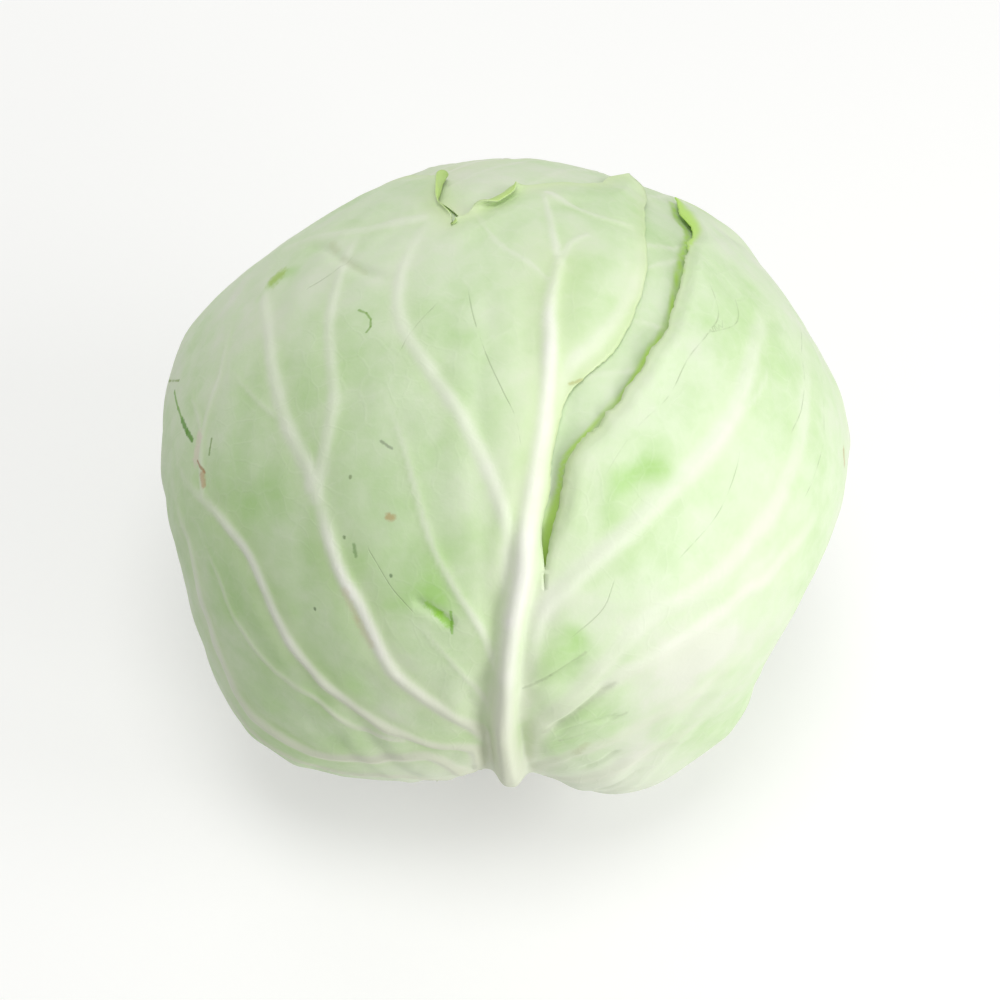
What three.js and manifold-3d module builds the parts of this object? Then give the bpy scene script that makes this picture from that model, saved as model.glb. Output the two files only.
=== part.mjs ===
// A white cabbage that lies on one side: a tight heart, the cut stump of its stem and six wrapper
// leaves. Millimetres and degrees. The origin is on the resting surface under the head's centre,
// +Z is up, and the stem points to the front (-Y), half way down.
import * as THREE from "three";
import Module from "manifold-3d";

const wasm = await Module();
wasm.setup();

// The head, as half axes of the egg that its outer leaves follow.
const HALF_WIDTH = 106;
const HALF_THICKNESS = 95;
const HALF_LENGTH = 97;
const STEM_TILT = 45;
// Less than the half thickness, so that the head has a flat spot where it has settled.
const CENTRE_HEIGHT = 92.5;

// Where the head swells out of the egg or sinks into it: degrees round the stem from the front
// leaf's rib towards +X, degrees from the stem, height and spread in degrees.
const SWELLINGS = [
  { around: 68, polar: 26, height: 9, spread: 14 },
  { around: 79, polar: 44, height: 5, spread: 10 },
  { around: -78, polar: 42, height: 12, spread: 20 },
  { around: -10, polar: 8, height: -13, spread: 10 },
  { around: 86, polar: 66, height: -15, spread: 12 },
  { around: -86, polar: 76, height: -3, spread: 12 },
  { around: 92, polar: 100, height: 3, spread: 12 },
  { around: 103, polar: 140, height: 4, spread: 12 },
  { around: -96, polar: 112, height: 4, spread: 14 },
  { around: -104, polar: 142, height: -8, spread: 12 },
  { around: 160, polar: 165, height: 2, spread: 14 },
];

// Leaves.
const BLADE = 1.2;
const GAP = 0.6;
const RIB_HEIGHT = 6;
const RIB_HALF_WIDTH = 9;
const RIB_END = 150;
// Outside its margin a leaf still lifts the ones over it, which settle back within these degrees.
const LIFT_FULL = 12;
const LIFT_END = 25;
// How far the heart lies under the outer leaves, on the flanks and round the stem.
const DEPTH = 7;
const DEPTH_AT_STEM = 16;
const DEPTH_BLEND = [14, 36];
// Slack over the resting surface between which the layers stop being pressed flat.
const SETTLED = 2;
const FREE = 12;

// Stem stump: how far the middles of its hidden foot and its cut face lie from the head's centre, the
// slope of both, which lie farther out on the side away from the front leaf, the bevel round the
// face, and the room it has on the heart and inside the ring of the leaves' feet.
const STUMP_FOOT = 72;
const STUMP_TOP = 80;
const STUMP_SLANT = 0.35;
const STUMP_EDGE = 1.5;
const STUMP_GAP = 0.5;
const STUMP_SIDES = 36;

// Grid of directions that every layer shares, so that no layer can cross the next.
const STEPS_AROUND = 36;
const STEPS_POLAR = 18;
const MARGIN_POINTS = 72;
// How often a leaf's own angles are corrected as its tip is pulled over the crown.
const PULL_PASSES = 6;
// How far the cutting cones reach, and the angle from the foot of the middle of a leaf's cone.
const CUTTER_REACH = 400;
const CUTTER_MIDDLE = 95;

// Half of a leaf's outline from the rib's foot to its tip: share of the half width, and degrees
// from the stem.
const HALF_OUTLINE = [
  [0, 12],
  [0.4, 12],
  [0.62, 19],
  [0.8, 32],
  [0.94, 55],
  [1, 85],
  [0.97, 115],
  [0.84, 140],
  [0.55, 157],
  [0.25, 165],
  [0, 168],
];

// The front leaf's outline, whose upper margin is ragged: degrees from its rib and from the stem.
const FRONT_OUTLINE = [
  [0, 12],
  [40, 12],
  [60, 18],
  [80, 32],
  [95, 55],
  [102, 80],
  [98, 105],
  [88, 122],
  [86, 134],
  [91, 146],
  [66, 159],
  [34, 161],
  [10, 160],
  [-8, 154],
  [-18, 151],
  [-34, 154],
  [-50, 160],
  [-75, 162],
  [-98, 150],
  [-108, 125],
  [-108, 95],
  [-100, 65],
  [-85, 36],
  [-62, 19],
  [-40, 12],
];

// Both sides of the tear in the front leaf, from where it starts beside the rib to the margin.
const TEAR_RIB_SIDE = [
  [7, 84],
  [12, 105],
  [21, 120],
  [33, 131],
  [47, 143],
  [66, 152],
  [84, 158],
  [92, 166],
];
const TEAR_FLAP_SIDE = [
  [7, 84],
  [13, 102],
  [24, 113],
  [37, 123],
  [50, 134],
  [66, 141],
  [88, 148],
  [108, 154],
];

// From the heart outwards: where each leaf's rib lies round the stem, how far it spreads to
// either side, and by how many degrees its tip is pulled over the crown.
const LEAVES = [
  { name: "inner_leaf_left", rib: -40, left: 104, right: 98, over: 14, colour: "#d9e4c0" },
  { name: "inner_leaf_back", rib: -170, left: 106, right: 104, over: 20, colour: "#d6e2bb" },
  { name: "inner_leaf_right", rib: 50, left: 100, right: 106, over: 22, colour: "#d3e0b6" },
  { name: "outer_leaf_left", rib: -100, left: 78, right: 104, over: 16, colour: "#cbdcab" },
  { name: "outer_leaf_right", rib: 130, left: 120, right: 88, over: 26, colour: "#c8daa6" },
  { name: "outer_leaf_front", rib: 0, outline: FRONT_OUTLINE, over: 0, colour: "#c2d6a0" },
];
const HEART_COLOUR = "#e4ebcf";
const STUMP_COLOUR = "#ece6cf";
const ROUGHNESS = 0.5;

const { degToRad, radToDeg, smoothstep, lerp } = THREE.MathUtils;
const lean = degToRad(STEM_TILT);
const toCrown = new THREE.Vector3(0, Math.cos(lean), Math.sin(lean));
const toFront = new THREE.Vector3(0, -Math.sin(lean), Math.cos(lean));
const toSide = new THREE.Vector3(1, 0, 0);

// The direction at these angles round the stem and from the stem.
function direction(around, polar) {
  const ring = Math.sin(degToRad(polar));
  return new THREE.Vector3()
    .addScaledVector(toFront, ring * Math.cos(degToRad(around)))
    .addScaledVector(toSide, ring * Math.sin(degToRad(around)))
    .addScaledVector(toCrown, -Math.cos(degToRad(polar)));
}

function polarOf(ray) {
  return radToDeg(Math.acos(THREE.MathUtils.clamp(-ray.dot(toCrown), -1, 1)));
}

function aroundOf(ray) {
  return radToDeg(Math.atan2(ray.dot(toSide), ray.dot(toFront)));
}

// Distance from the centre to the outside of the head before it settles.
function freeRadius(ray) {
  const egg = Math.hypot(
    ray.dot(toSide) / HALF_WIDTH,
    ray.dot(toFront) / HALF_THICKNESS,
    ray.dot(toCrown) / HALF_LENGTH,
  );
  let radius = 1 / egg;
  for (const { around, polar, height, spread } of SWELLINGS) {
    const sharpness = 1 / (1 - Math.cos(degToRad(spread)));
    radius += height * Math.exp(sharpness * (ray.dot(direction(around, polar)) - 1));
  }
  return radius;
}

// Distance from the centre to the resting surface.
function surfaceDistance(ray) {
  return ray.z < 0 ? CENTRE_HEIGHT / -ray.z : Infinity;
}

// A leaf's own frame turns about this axis as the leaf is pulled over the crown.
function hinge(leaf) {
  return direction(leaf.rib + 90, 90);
}

function pull(leaf, polar) {
  return degToRad(leaf.over) * smoothstep(polar, 0, 180);
}

// The direction of a point of a leaf: degrees from its rib and from its foot.
function leafDirection(leaf, fromRib, fromFoot) {
  const flat = direction(leaf.rib + fromRib, fromFoot);
  let ray = flat;
  for (let pass = 0; pass < PULL_PASSES; pass++) {
    ray = flat.clone().applyAxisAngle(hinge(leaf), -pull(leaf, polarOf(ray)));
  }
  return ray;
}

// The reverse: where a direction is on a leaf.
function leafPlace(leaf, ray) {
  const flat = ray.clone().applyAxisAngle(hinge(leaf), pull(leaf, polarOf(ray)));
  const fromRib = THREE.MathUtils.euclideanModulo(aroundOf(flat) - leaf.rib + 180, 360) - 180;
  return [fromRib, polarOf(flat)];
}

// A leaf's outline as a smooth closed line of angles.
function outlineOf(leaf) {
  const right = HALF_OUTLINE.map(([share, polar]) => [share * leaf.right, polar]);
  const left = HALF_OUTLINE.slice(1, -1).map(([share, polar]) => [-share * leaf.left, polar]);
  const corners = leaf.outline ?? [...right, ...left.reverse()];
  const points = corners.map(([x, y]) => new THREE.Vector3(x, y, 0));
  const curve = new THREE.CatmullRomCurve3(points, true, "centripetal");
  return curve.getSpacedPoints(MARGIN_POINTS).slice(1);
}

function isInside(outline, x, y) {
  let inside = false;
  outline.forEach((a, i) => {
    const b = outline[(i + 1) % outline.length];
    if (a.y > y !== b.y > y && x < a.x + ((y - a.y) / (b.y - a.y)) * (b.x - a.x)) {
      inside = !inside;
    }
  });
  return inside;
}

// 1 where a leaf lifts the layers over it by its whole thickness, falling to 0 beyond its margin.
function lift(leaf, ray) {
  if (isInside(leaf.margin, ...leafPlace(leaf, ray))) {
    return 1;
  }
  const nearest = Math.max(...leaf.marginRays.map((point) => point.dot(ray)));
  return 1 - smoothstep(radToDeg(Math.acos(Math.min(nearest, 1))), LIFT_FULL, LIFT_END);
}

// Blade and rib together.
function thickness(leaf, ray) {
  const [fromRib, fromFoot] = leafPlace(leaf, ray);
  const fromRibMm = HALF_WIDTH * Math.sin(degToRad(fromFoot)) * degToRad(fromRib);
  const along = Math.max(0, 1 - fromFoot / RIB_END);
  return BLADE + RIB_HEIGHT * along * Math.exp(-((fromRibMm / RIB_HALF_WIDTH) ** 2));
}

for (const leaf of LEAVES) {
  leaf.margin = outlineOf(leaf);
  leaf.marginRays = leaf.margin.map((point) => leafDirection(leaf, point.x, point.y));
}

// The shared grid: the stem's pole, rings of directions, and the crown's pole.
const rays = [direction(0, 0)];
for (let i = 1; i < STEPS_POLAR; i++) {
  for (let j = 0; j < STEPS_AROUND; j++) {
    rays.push(direction((j * 360) / STEPS_AROUND, (i * 180) / STEPS_POLAR));
  }
}
rays.push(direction(0, 180));

const gridTriangles = [];
for (let j = 0; j < STEPS_AROUND; j++) {
  const next = (j + 1) % STEPS_AROUND;
  const last = 1 + (STEPS_POLAR - 2) * STEPS_AROUND;
  gridTriangles.push([0, 1 + next, 1 + j]);
  gridTriangles.push([rays.length - 1, last + j, last + next]);
  for (let i = 0; i < STEPS_POLAR - 2; i++) {
    const ring = 1 + i * STEPS_AROUND;
    const above = ring + STEPS_AROUND;
    gridTriangles.push([ring + j, ring + next, above + next]);
    gridTriangles.push([ring + j, above + next, above + j]);
  }
}

function solidFrom(points, triangles) {
  const vertProperties = new Float32Array(points.flatMap((point) => point.toArray()));
  const triVerts = new Uint32Array(triangles.flat());
  return new wasm.Manifold(new wasm.Mesh({ numProp: 3, vertProperties, triVerts }));
}

// The closed layer whose surface is these distances away along the grid's directions.
function layer(radii) {
  const points = rays.map((ray, i) => ray.clone().multiplyScalar(radii[i]));
  return solidFrom(points, gridTriangles);
}

// A cone from the centre through a leaf's outline.
function marginCutter(leaf) {
  const count = leaf.margin.length;
  const across = leaf.margin.map((point) => point.x);
  const middle = (Math.max(...across) + Math.min(...across)) / 2;
  const centre = leafDirection(leaf, middle, CUTTER_MIDDLE);
  const halfway = leaf.marginRays.map((ray) => {
    const turn = new THREE.Quaternion().setFromUnitVectors(centre, ray);
    const half = new THREE.Quaternion().slerp(turn, 0.5);
    return centre.clone().applyQuaternion(half);
  });
  const points = [...leaf.marginRays, ...halfway, centre].map((ray) =>
    ray.clone().multiplyScalar(CUTTER_REACH),
  );
  const tip = points.length;
  points.push(new THREE.Vector3());
  const triangles = [];
  for (let i = 0; i < count; i++) {
    const next = (i + 1) % count;
    triangles.push([tip, next, i]);
    triangles.push([i, next, count + next]);
    triangles.push([i, count + next, count + i]);
    triangles.push([count + i, count + next, 2 * count]);
  }
  return solidFrom(points, triangles);
}

// A cone from the centre through the gap between two sides of a tear that start at one point.
function tearCutter(leaf, nearSide, farSide) {
  const outwards = ([x, y]) => leafDirection(leaf, x, y).multiplyScalar(CUTTER_REACH);
  const count = nearSide.length;
  const points = [...nearSide.map(outwards), ...farSide.slice(1).map(outwards), new THREE.Vector3()];
  const tip = points.length - 1;
  const near = (i) => i;
  const far = (i) => (i === 0 ? 0 : count + i - 1);
  const triangles = [[near(count - 1), far(count - 1), tip]];
  for (let i = 0; i < count - 1; i++) {
    triangles.push([tip, near(i), near(i + 1)]);
    triangles.push([tip, far(i + 1), far(i)]);
    triangles.push([near(i), far(i + 1), near(i + 1)]);
    if (i > 0) {
      triangles.push([near(i), far(i), far(i + 1)]);
    }
  }
  return solidFrom(points, triangles);
}

const cabbage = new THREE.Group();
cabbage.name = "white_cabbage";
cabbage.position.z = CENTRE_HEIGHT;

function addMesh(name, geometry, colour) {
  const material = new THREE.MeshStandardMaterial({ color: colour, roughness: ROUGHNESS, metalness: 0 });
  const mesh = new THREE.Mesh(geometry, material);
  mesh.name = name;
  cabbage.add(mesh);
  return mesh;
}

function geometryOf(solid) {
  const { vertProperties, triVerts } = solid.getMesh();
  const geometry = new THREE.BufferGeometry();
  geometry.setAttribute("position", new THREE.BufferAttribute(vertProperties, 3));
  geometry.setIndex(new THREE.BufferAttribute(triVerts, 1));
  geometry.computeVertexNormals();
  return geometry;
}

// Room that the leaves take up along each direction, all together.
const lifts = LEAVES.map((leaf) => rays.map((ray) => lift(leaf, ray)));
const walls = LEAVES.map((leaf) => rays.map((ray) => thickness(leaf, ray)));
const heartRadii = rays.map((ray, i) => {
  const leavesHere = LEAVES.reduce((sum, _, k) => sum + (GAP + walls[k][i]) * lifts[k][i], 0);
  const usual = lerp(DEPTH_AT_STEM, DEPTH, smoothstep(polarOf(ray), ...DEPTH_BLEND));
  const free = freeRadius(ray);
  const surface = surfaceDistance(ray);
  const settled = 1 - smoothstep(surface - free, SETTLED, FREE);
  return Math.min(free, surface) - lerp(usual, leavesHere, settled);
});

// How far out a direction meets a plane that is slanted like the stump's cut face.
function toSlant(ray, height) {
  return height / (STUMP_SLANT * ray.dot(toFront) - ray.dot(toCrown));
}

// The stump sits in a hollow of the heart.
const footAngle = Math.min(...LEAVES.flatMap((leaf) => leaf.marginRays.map(polarOf)));
const seatedRadii = heartRadii.map((radius, i) => {
  const underStump = polarOf(rays[i]) < footAngle;
  return underStump ? Math.min(radius, toSlant(rays[i], STUMP_FOOT)) : radius;
});
addMesh("heart", geometryOf(layer(seatedRadii)), HEART_COLOUR);

let under = heartRadii;
LEAVES.forEach((leaf, k) => {
  const inner = under.map((radius) => radius + GAP);
  const outer = inner.map((radius, i) => radius + walls[k][i]);
  let solid = layer(outer).subtract(layer(inner)).intersect(marginCutter(leaf));
  if (leaf.outline) {
    solid = solid.subtract(tearCutter(leaf, TEAR_RIB_SIDE, TEAR_FLAP_SIDE));
  }
  addMesh(leaf.name, geometryOf(solid), leaf.colour);
  under = under.map((radius, i) => radius + (GAP + walls[k][i]) * lifts[k][i]);
});

// The stump fills the ring of the leaves' feet from the heart out to its cut face.
function stumpRing(angle, height) {
  return Array.from({ length: STUMP_SIDES }, (_, i) => {
    const ray = direction((i * 360) / STUMP_SIDES, angle);
    return ray.multiplyScalar(toSlant(ray, height));
  });
}

const stumpAngle = footAngle - radToDeg(STUMP_GAP / STUMP_TOP);
const stumpPoints = [
  new THREE.Vector3(),
  toCrown.clone().multiplyScalar(-STUMP_TOP),
  ...stumpRing(stumpAngle, STUMP_TOP - STUMP_EDGE),
  ...stumpRing(stumpAngle - radToDeg(STUMP_EDGE / STUMP_TOP), STUMP_TOP),
];
const stumpTriangles = [];
for (let i = 0; i < STUMP_SIDES; i++) {
  const side = 2 + i;
  const sideNext = 2 + ((i + 1) % STUMP_SIDES);
  const edge = side + STUMP_SIDES;
  const edgeNext = sideNext + STUMP_SIDES;
  stumpTriangles.push([0, side, sideNext]);
  stumpTriangles.push([1, edgeNext, edge]);
  stumpTriangles.push([edge, edgeNext, sideNext]);
  stumpTriangles.push([edge, sideNext, side]);
}
const seat = layer(seatedRadii.map((radius) => radius + STUMP_GAP));
addMesh("cut_stem", geometryOf(solidFrom(stumpPoints, stumpTriangles).subtract(seat)), STUMP_COLOUR);

export default cabbage;
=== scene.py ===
"""White cabbage: a heart, a cut stem and six wrapper leaves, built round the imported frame."""
import math
from collections import namedtuple

import bmesh
import bpy
import numpy as np
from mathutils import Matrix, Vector


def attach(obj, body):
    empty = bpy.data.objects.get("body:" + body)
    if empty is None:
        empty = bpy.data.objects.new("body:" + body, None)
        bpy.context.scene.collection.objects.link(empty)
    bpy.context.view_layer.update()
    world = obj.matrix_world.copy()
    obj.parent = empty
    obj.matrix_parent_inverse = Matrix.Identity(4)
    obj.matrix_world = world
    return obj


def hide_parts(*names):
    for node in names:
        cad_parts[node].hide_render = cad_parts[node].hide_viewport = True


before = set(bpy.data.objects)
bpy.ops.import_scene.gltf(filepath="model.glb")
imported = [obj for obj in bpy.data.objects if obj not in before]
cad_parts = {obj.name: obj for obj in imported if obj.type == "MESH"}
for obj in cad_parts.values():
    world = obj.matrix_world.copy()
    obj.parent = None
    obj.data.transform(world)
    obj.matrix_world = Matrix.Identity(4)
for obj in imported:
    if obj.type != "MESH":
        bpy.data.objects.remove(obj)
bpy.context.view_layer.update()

# ------------------------------
# Driving dimensions, in millimetres and degrees. The head is worked out in
# millimetres from its own centre, and each mesh is placed in metres.
# ------------------------------
MM = 0.001
HALF_WIDTH = 106
HALF_THICKNESS = 95
HALF_LENGTH = 97
MEAN_RADIUS = 97
CENTRE_HEIGHT = 92.5
STEM_TILT = 45

# Swells and hollows of the head: degrees round the stem from the front rib,
# degrees from the stem, height and spread in degrees.
SWELLINGS = [
    (68, 26, 9, 14), (79, 44, 5, 10), (-78, 42, 12, 20), (-10, 8, -13, 10), (86, 66, -15, 12),
    (-86, 76, -3, 12), (92, 100, 3, 12), (103, 140, 4, 12), (-96, 112, 4, 14),
    (-104, 142, -8, 12), (160, 165, 2, 14),
]

BLADE = 1.1          # thickness of a leaf between its veins
EDGE = 0.4           # thickness at its margins
GAP = 0.4            # air between two leaves
LIFT_FULL = 0.5      # a margin lifts the leaf over it fully up to here
LIFT_END = 7         # and not at all from here, in degrees
DEPTH = 9            # roughly how far the heart lies under the outermost leaf
HEART_ROUNDS = 3     # corrections of the heart's shape
SETTLED, FREE = 2, 12  # slack over the resting surface where layers stop being flat
TOUCHING = 0.25      # share of a leaf's loft that is left where the head is pressed flat
THINNING = 7         # mm from a margin over which a leaf thins out
SINKING = 11         # mm from a margin over which a leaf comes down on the one under it
MARGIN_REACH = 40    # mm from a margin beyond which it no longer counts
FAR = 1e4            # mm, for a direction that never meets the resting surface
NEARLY_LEVEL = 0.05  # drop of a direction that counts as level

FOOT = 11.8          # degrees from the stem where a leaf's foot is cut

# ------------------------------
# Directions. A place on the head is (around, polar): degrees round the stem
# from the front leaf's rib, and degrees from the stem.
# ------------------------------
LEAN = math.radians(STEM_TILT)
TO_CROWN = np.array([0, math.cos(LEAN), math.sin(LEAN)])
TO_FRONT = np.array([0, -math.sin(LEAN), math.cos(LEAN)])
TO_SIDE = np.array([1.0, 0, 0])


def direction(around, polar):
    around, polar = np.radians(around), np.radians(polar)
    ring = np.sin(polar)
    return (
        (ring * np.cos(around))[..., None] * TO_FRONT
        + (ring * np.sin(around))[..., None] * TO_SIDE
        - np.cos(polar)[..., None] * TO_CROWN
    )


def polar_of(rays):
    return np.degrees(np.arccos(np.clip(-rays @ TO_CROWN, -1, 1)))


def around_of(rays):
    return np.degrees(np.arctan2(rays @ TO_SIDE, rays @ TO_FRONT))


def unit(vectors):
    return vectors / np.maximum(np.linalg.norm(vectors, axis=-1, keepdims=True), 1e-12)


def smoothstep(x, low, high):
    t = np.clip((x - low) / (high - low), 0, 1)
    return t * t * (3 - 2 * t)


def bell(distance, width, power=2):
    """1 at no distance, falling to 0 about the width."""
    return np.exp(-((distance / width) ** power))


def read(steps, at, column=1):
    """A column of a list of steps, between the values of its first column."""
    steps = np.array(steps)
    return np.interp(at, steps[:, 0], steps[:, column])


def turned(rays, axis, angle):
    """rays turned about one axis, each by its own angle in radians."""
    c, s = np.cos(angle)[..., None], np.sin(angle)[..., None]
    return rays * c + np.cross(axis, rays) * s + (rays @ axis)[..., None] * axis * (1 - c)


def free_radius(rays):
    """Distance from the centre to the outside of the head before it settles."""
    egg = np.sqrt(
        (rays @ TO_SIDE / HALF_WIDTH) ** 2
        + (rays @ TO_FRONT / HALF_THICKNESS) ** 2
        + (rays @ TO_CROWN / HALF_LENGTH) ** 2
    )
    radius = 1 / egg
    for around, polar, height, spread in SWELLINGS:
        sharpness = 1 / (1 - math.cos(math.radians(spread)))
        middle = direction(np.float64(around), np.float64(polar))
        radius += height * np.exp(sharpness * (rays @ middle - 1))
    return radius


def surface_distance(rays):
    """Distance from the centre to the surface the head lies on."""
    drop = -rays[..., 2]
    return np.where(drop > NEARLY_LEVEL, CENTRE_HEIGHT / np.maximum(drop, NEARLY_LEVEL), FAR)


def smooth_line(points, per_span=10):
    """A smooth (Catmull-Rom) line through a few points, with per_span steps between each two."""
    p = np.array(points, float)
    p = np.vstack([2 * p[0] - p[1], p, 2 * p[-1] - p[-2]])
    t = np.arange(per_span)[:, None] / per_span
    spans = []
    for a, b, c, d in zip(p, p[1:], p[2:], p[3:]):
        spans.append(
            0.5 * (2 * b + (c - a) * t + (2 * a - 5 * b + 4 * c - d) * t**2
                   + (3 * b - a - 3 * c + d) * t**3)
        )
    return np.vstack(spans + [p[-2]])


def lengths_along(places):
    """Distance along a line of places to each of them, in mm."""
    steps = np.linalg.norm(np.diff(direction(places[:, 0], places[:, 1]), axis=0), axis=1)
    return np.concatenate([[0], np.cumsum(steps)]) * MEAN_RADIUS


def spaced(line, count):
    """count places spread evenly along a line of them."""
    along = lengths_along(line)
    wanted = np.linspace(0, along[-1], count)
    return np.stack([np.interp(wanted, along, line[:, i]) for i in (0, 1)], axis=1)


def waves(points, size, seed, count=14):
    """Soft noise, about -1 to 1, from plane waves about size mm long."""
    draw = np.random.default_rng(seed)
    total = np.zeros(points.shape[:-1])
    for _ in range(count):
        heading = draw.normal(size=3)
        heading *= draw.uniform(0.7, 1.4) * 2 * math.pi / size / np.linalg.norm(heading)
        total += np.sin(points @ heading + draw.uniform(0, 2 * math.pi))
    return total / math.sqrt(count)


def distance_from(middle, rays):
    """Distance of each ray from one, in mm on a head of mean size."""
    return np.linalg.norm(rays - middle, axis=1) * MEAN_RADIUS


def beside(rays, line, reach):
    """The rays within about reach mm of a line: their numbers, distances from it in mm, how
    far along it they lie from 0 to 1, and -1 or 1 for the side they lie on."""
    middle = unit(line.mean(axis=0))
    spread = np.arccos(np.clip(line @ middle, -1, 1)).max() + reach / MEAN_RADIUS
    near = np.nonzero(rays @ middle > math.cos(min(spread, math.pi)))[0]
    part = rays[near]
    at = (part @ line.T).argmax(axis=1)
    last = len(line) - 1
    ahead = unit(line[np.minimum(at + 1, last)] - line[np.maximum(at - 1, 0)])
    offset = part - line[at]
    along = (offset * ahead).sum(axis=1)
    along[(at == 0) | (at == last)] = 0
    away = np.sqrt(np.maximum((offset**2).sum(axis=1) - along**2, 0)) * MEAN_RADIUS
    side = np.where((np.cross(ahead, offset) * part).sum(axis=1) < 0, -1.0, 1.0)
    close = away < reach
    return near[close], away[close], at[close] / last, side[close]


def distance_to(rays, line, reach):
    """Distance from a line in mm, no more than reach."""
    away = np.full(len(rays), float(reach))
    near, distance, _, _ = beside(rays, line, reach)
    away[near] = distance
    return away


# ------------------------------
# Leaves. Each has its rib at one place round the stem, and its own places
# (from_rib, from_foot), which are bent so that its tip is pulled over the
# crown.
# ------------------------------
# From the foot to the upper corner, and from there to the tip: share of the
# half width, and degrees from the stem.
HALF_SIDE = [(0.4, FOOT), (0.62, 19), (0.8, 32), (0.94, 55), (1, 85), (0.97, 115), (0.9, 133)]
HALF_TOP = [(0.9, 133), (0.72, 149), (0.5, 159), (0.25, 165), (0, 168)]

# Along a rib: degrees from the stem, half width, height, and depth of the groove on each side of
# it, in mm.
RIB_STEPS = [
    (12, 5.8, 6.5, 1.0), (22, 5.0, 6.4, 1.1), (34, 4.0, 6.0, 1.2), (50, 3.4, 5.0, 1.0),
    (66, 3.0, 3.5, 0.6), (82, 3.1, 2.4, 0.3), (101, 2.7, 1.8, 0.1), (121, 2.1, 1.3, 0),
    (138, 1.4, 0.7, 0), (160, 0.6, 0.2, 0),
]
# How far the head sinks in beside the front rib: degrees from the stem, and depth in mm.
RIB_SINKS = [(12, 4.0), (20, 4.4), (27, 5.8), (36, 5.0), (50, 2.2), (64, 0)]
RIB_SINK_WIDTH = 14
RIB_SINK_REACH = 45  # mm on each side of the front rib where the sink ends
RIB_POWER = 3.2      # the larger, the flatter a rib's back and the steeper its flanks
RIB_REACH = 40       # mm on each side that a rib and its groove shape
VEIN_REACH = 34      # mm on each side that a side vein shapes
VEINS_START = 6      # mm beside the rib over which the side veins rise
VEIN_RISE = 0.55     # height of a side vein, as a share of its half width
CREST_TOP = 2.5      # mm on each side of a vein where the blade's crest is round
CREST_FALL = 9       # mm in which the crest falls to about a third
FINE_REACH = 3       # mm on each side of a hair line that know of it
RIB_FADE = 18        # degrees before its tip over which a rib loses its whiteness
PLAIN_RIB = [(0, FOOT), (1, 50), (-1, 100), (2, 140), (0, 160)]

# A line of places, its half width at both ends, how far the blade rises to it, and how clearly
# it shows: 1 for a sharp white vein, less for a soft and broad one.
Vein = namedtuple("Vein", "places start end crest clarity", defaults=(0.0, 1.0))


class Patch:
    """One sheet of a leaf between four lines: left, top, right and foot. Its top carries a lip and
    rolls. A torn side is lifted off by steps, and is thin over a width that taper divides."""

    def __init__(self, left, top, right, foot, columns, lip=1.0, rolls=(), torn=None, lifted=None,
                 taper=1.0):
        self.left, self.top, self.right, self.foot = left, top, right, foot
        self.columns = columns
        self.lip = lip
        self.rolls = rolls
        self.torn = torn
        self.lifted = lifted
        self.taper = taper

    def places(self, rows):
        """Places in a grid that fills the patch, row by row from the foot."""
        left = self.left if len(self.left) == rows else spaced(self.left, rows)
        right = self.right if len(self.right) == rows else spaced(self.right, rows)
        top, foot = spaced(self.top, self.columns), spaced(self.foot, self.columns)
        u = np.linspace(0, 1, self.columns)[None, :, None]
        v = np.linspace(0, 1, rows)[:, None, None]
        across = (1 - u) * left[:, None] + u * right[:, None]
        along = (1 - v) * foot[None] + v * top[None]
        low = (1 - u) * foot[0] + u * foot[-1]
        high = (1 - u) * top[0] + u * top[-1]
        return across + along - (1 - v) * low - v * high


def relaxed(rays, passes=120):
    """A grid of directions with its border kept and its inside evened out, so that no cell folds
    over beside a notch of the border."""
    rays = rays.copy()
    for _ in range(passes):
        u = (rays[1:-1, 2:] - rays[1:-1, :-2]) / 2
        v = (rays[2:, 1:-1] - rays[:-2, 1:-1]) / 2
        uu, vv, uv = ((a * b).sum(axis=2, keepdims=True) for a, b in ((u, u), (v, v), (u, v)))
        corners = (rays[2:, 2:] - rays[2:, :-2] - rays[:-2, 2:] + rays[:-2, :-2]) / 4
        across, along = rays[1:-1, 2:] + rays[1:-1, :-2], rays[2:, 1:-1] + rays[:-2, 1:-1]
        middle = (vv * across + uu * along - 2 * uv * corners) / (2 * (uu + vv))
        rays[1:-1, 1:-1] = middle / np.linalg.norm(middle, axis=2, keepdims=True)
    return rays


def wall_at(edge_distance):
    return EDGE + (BLADE - EDGE) * smoothstep(edge_distance, 0, THINNING)


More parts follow.
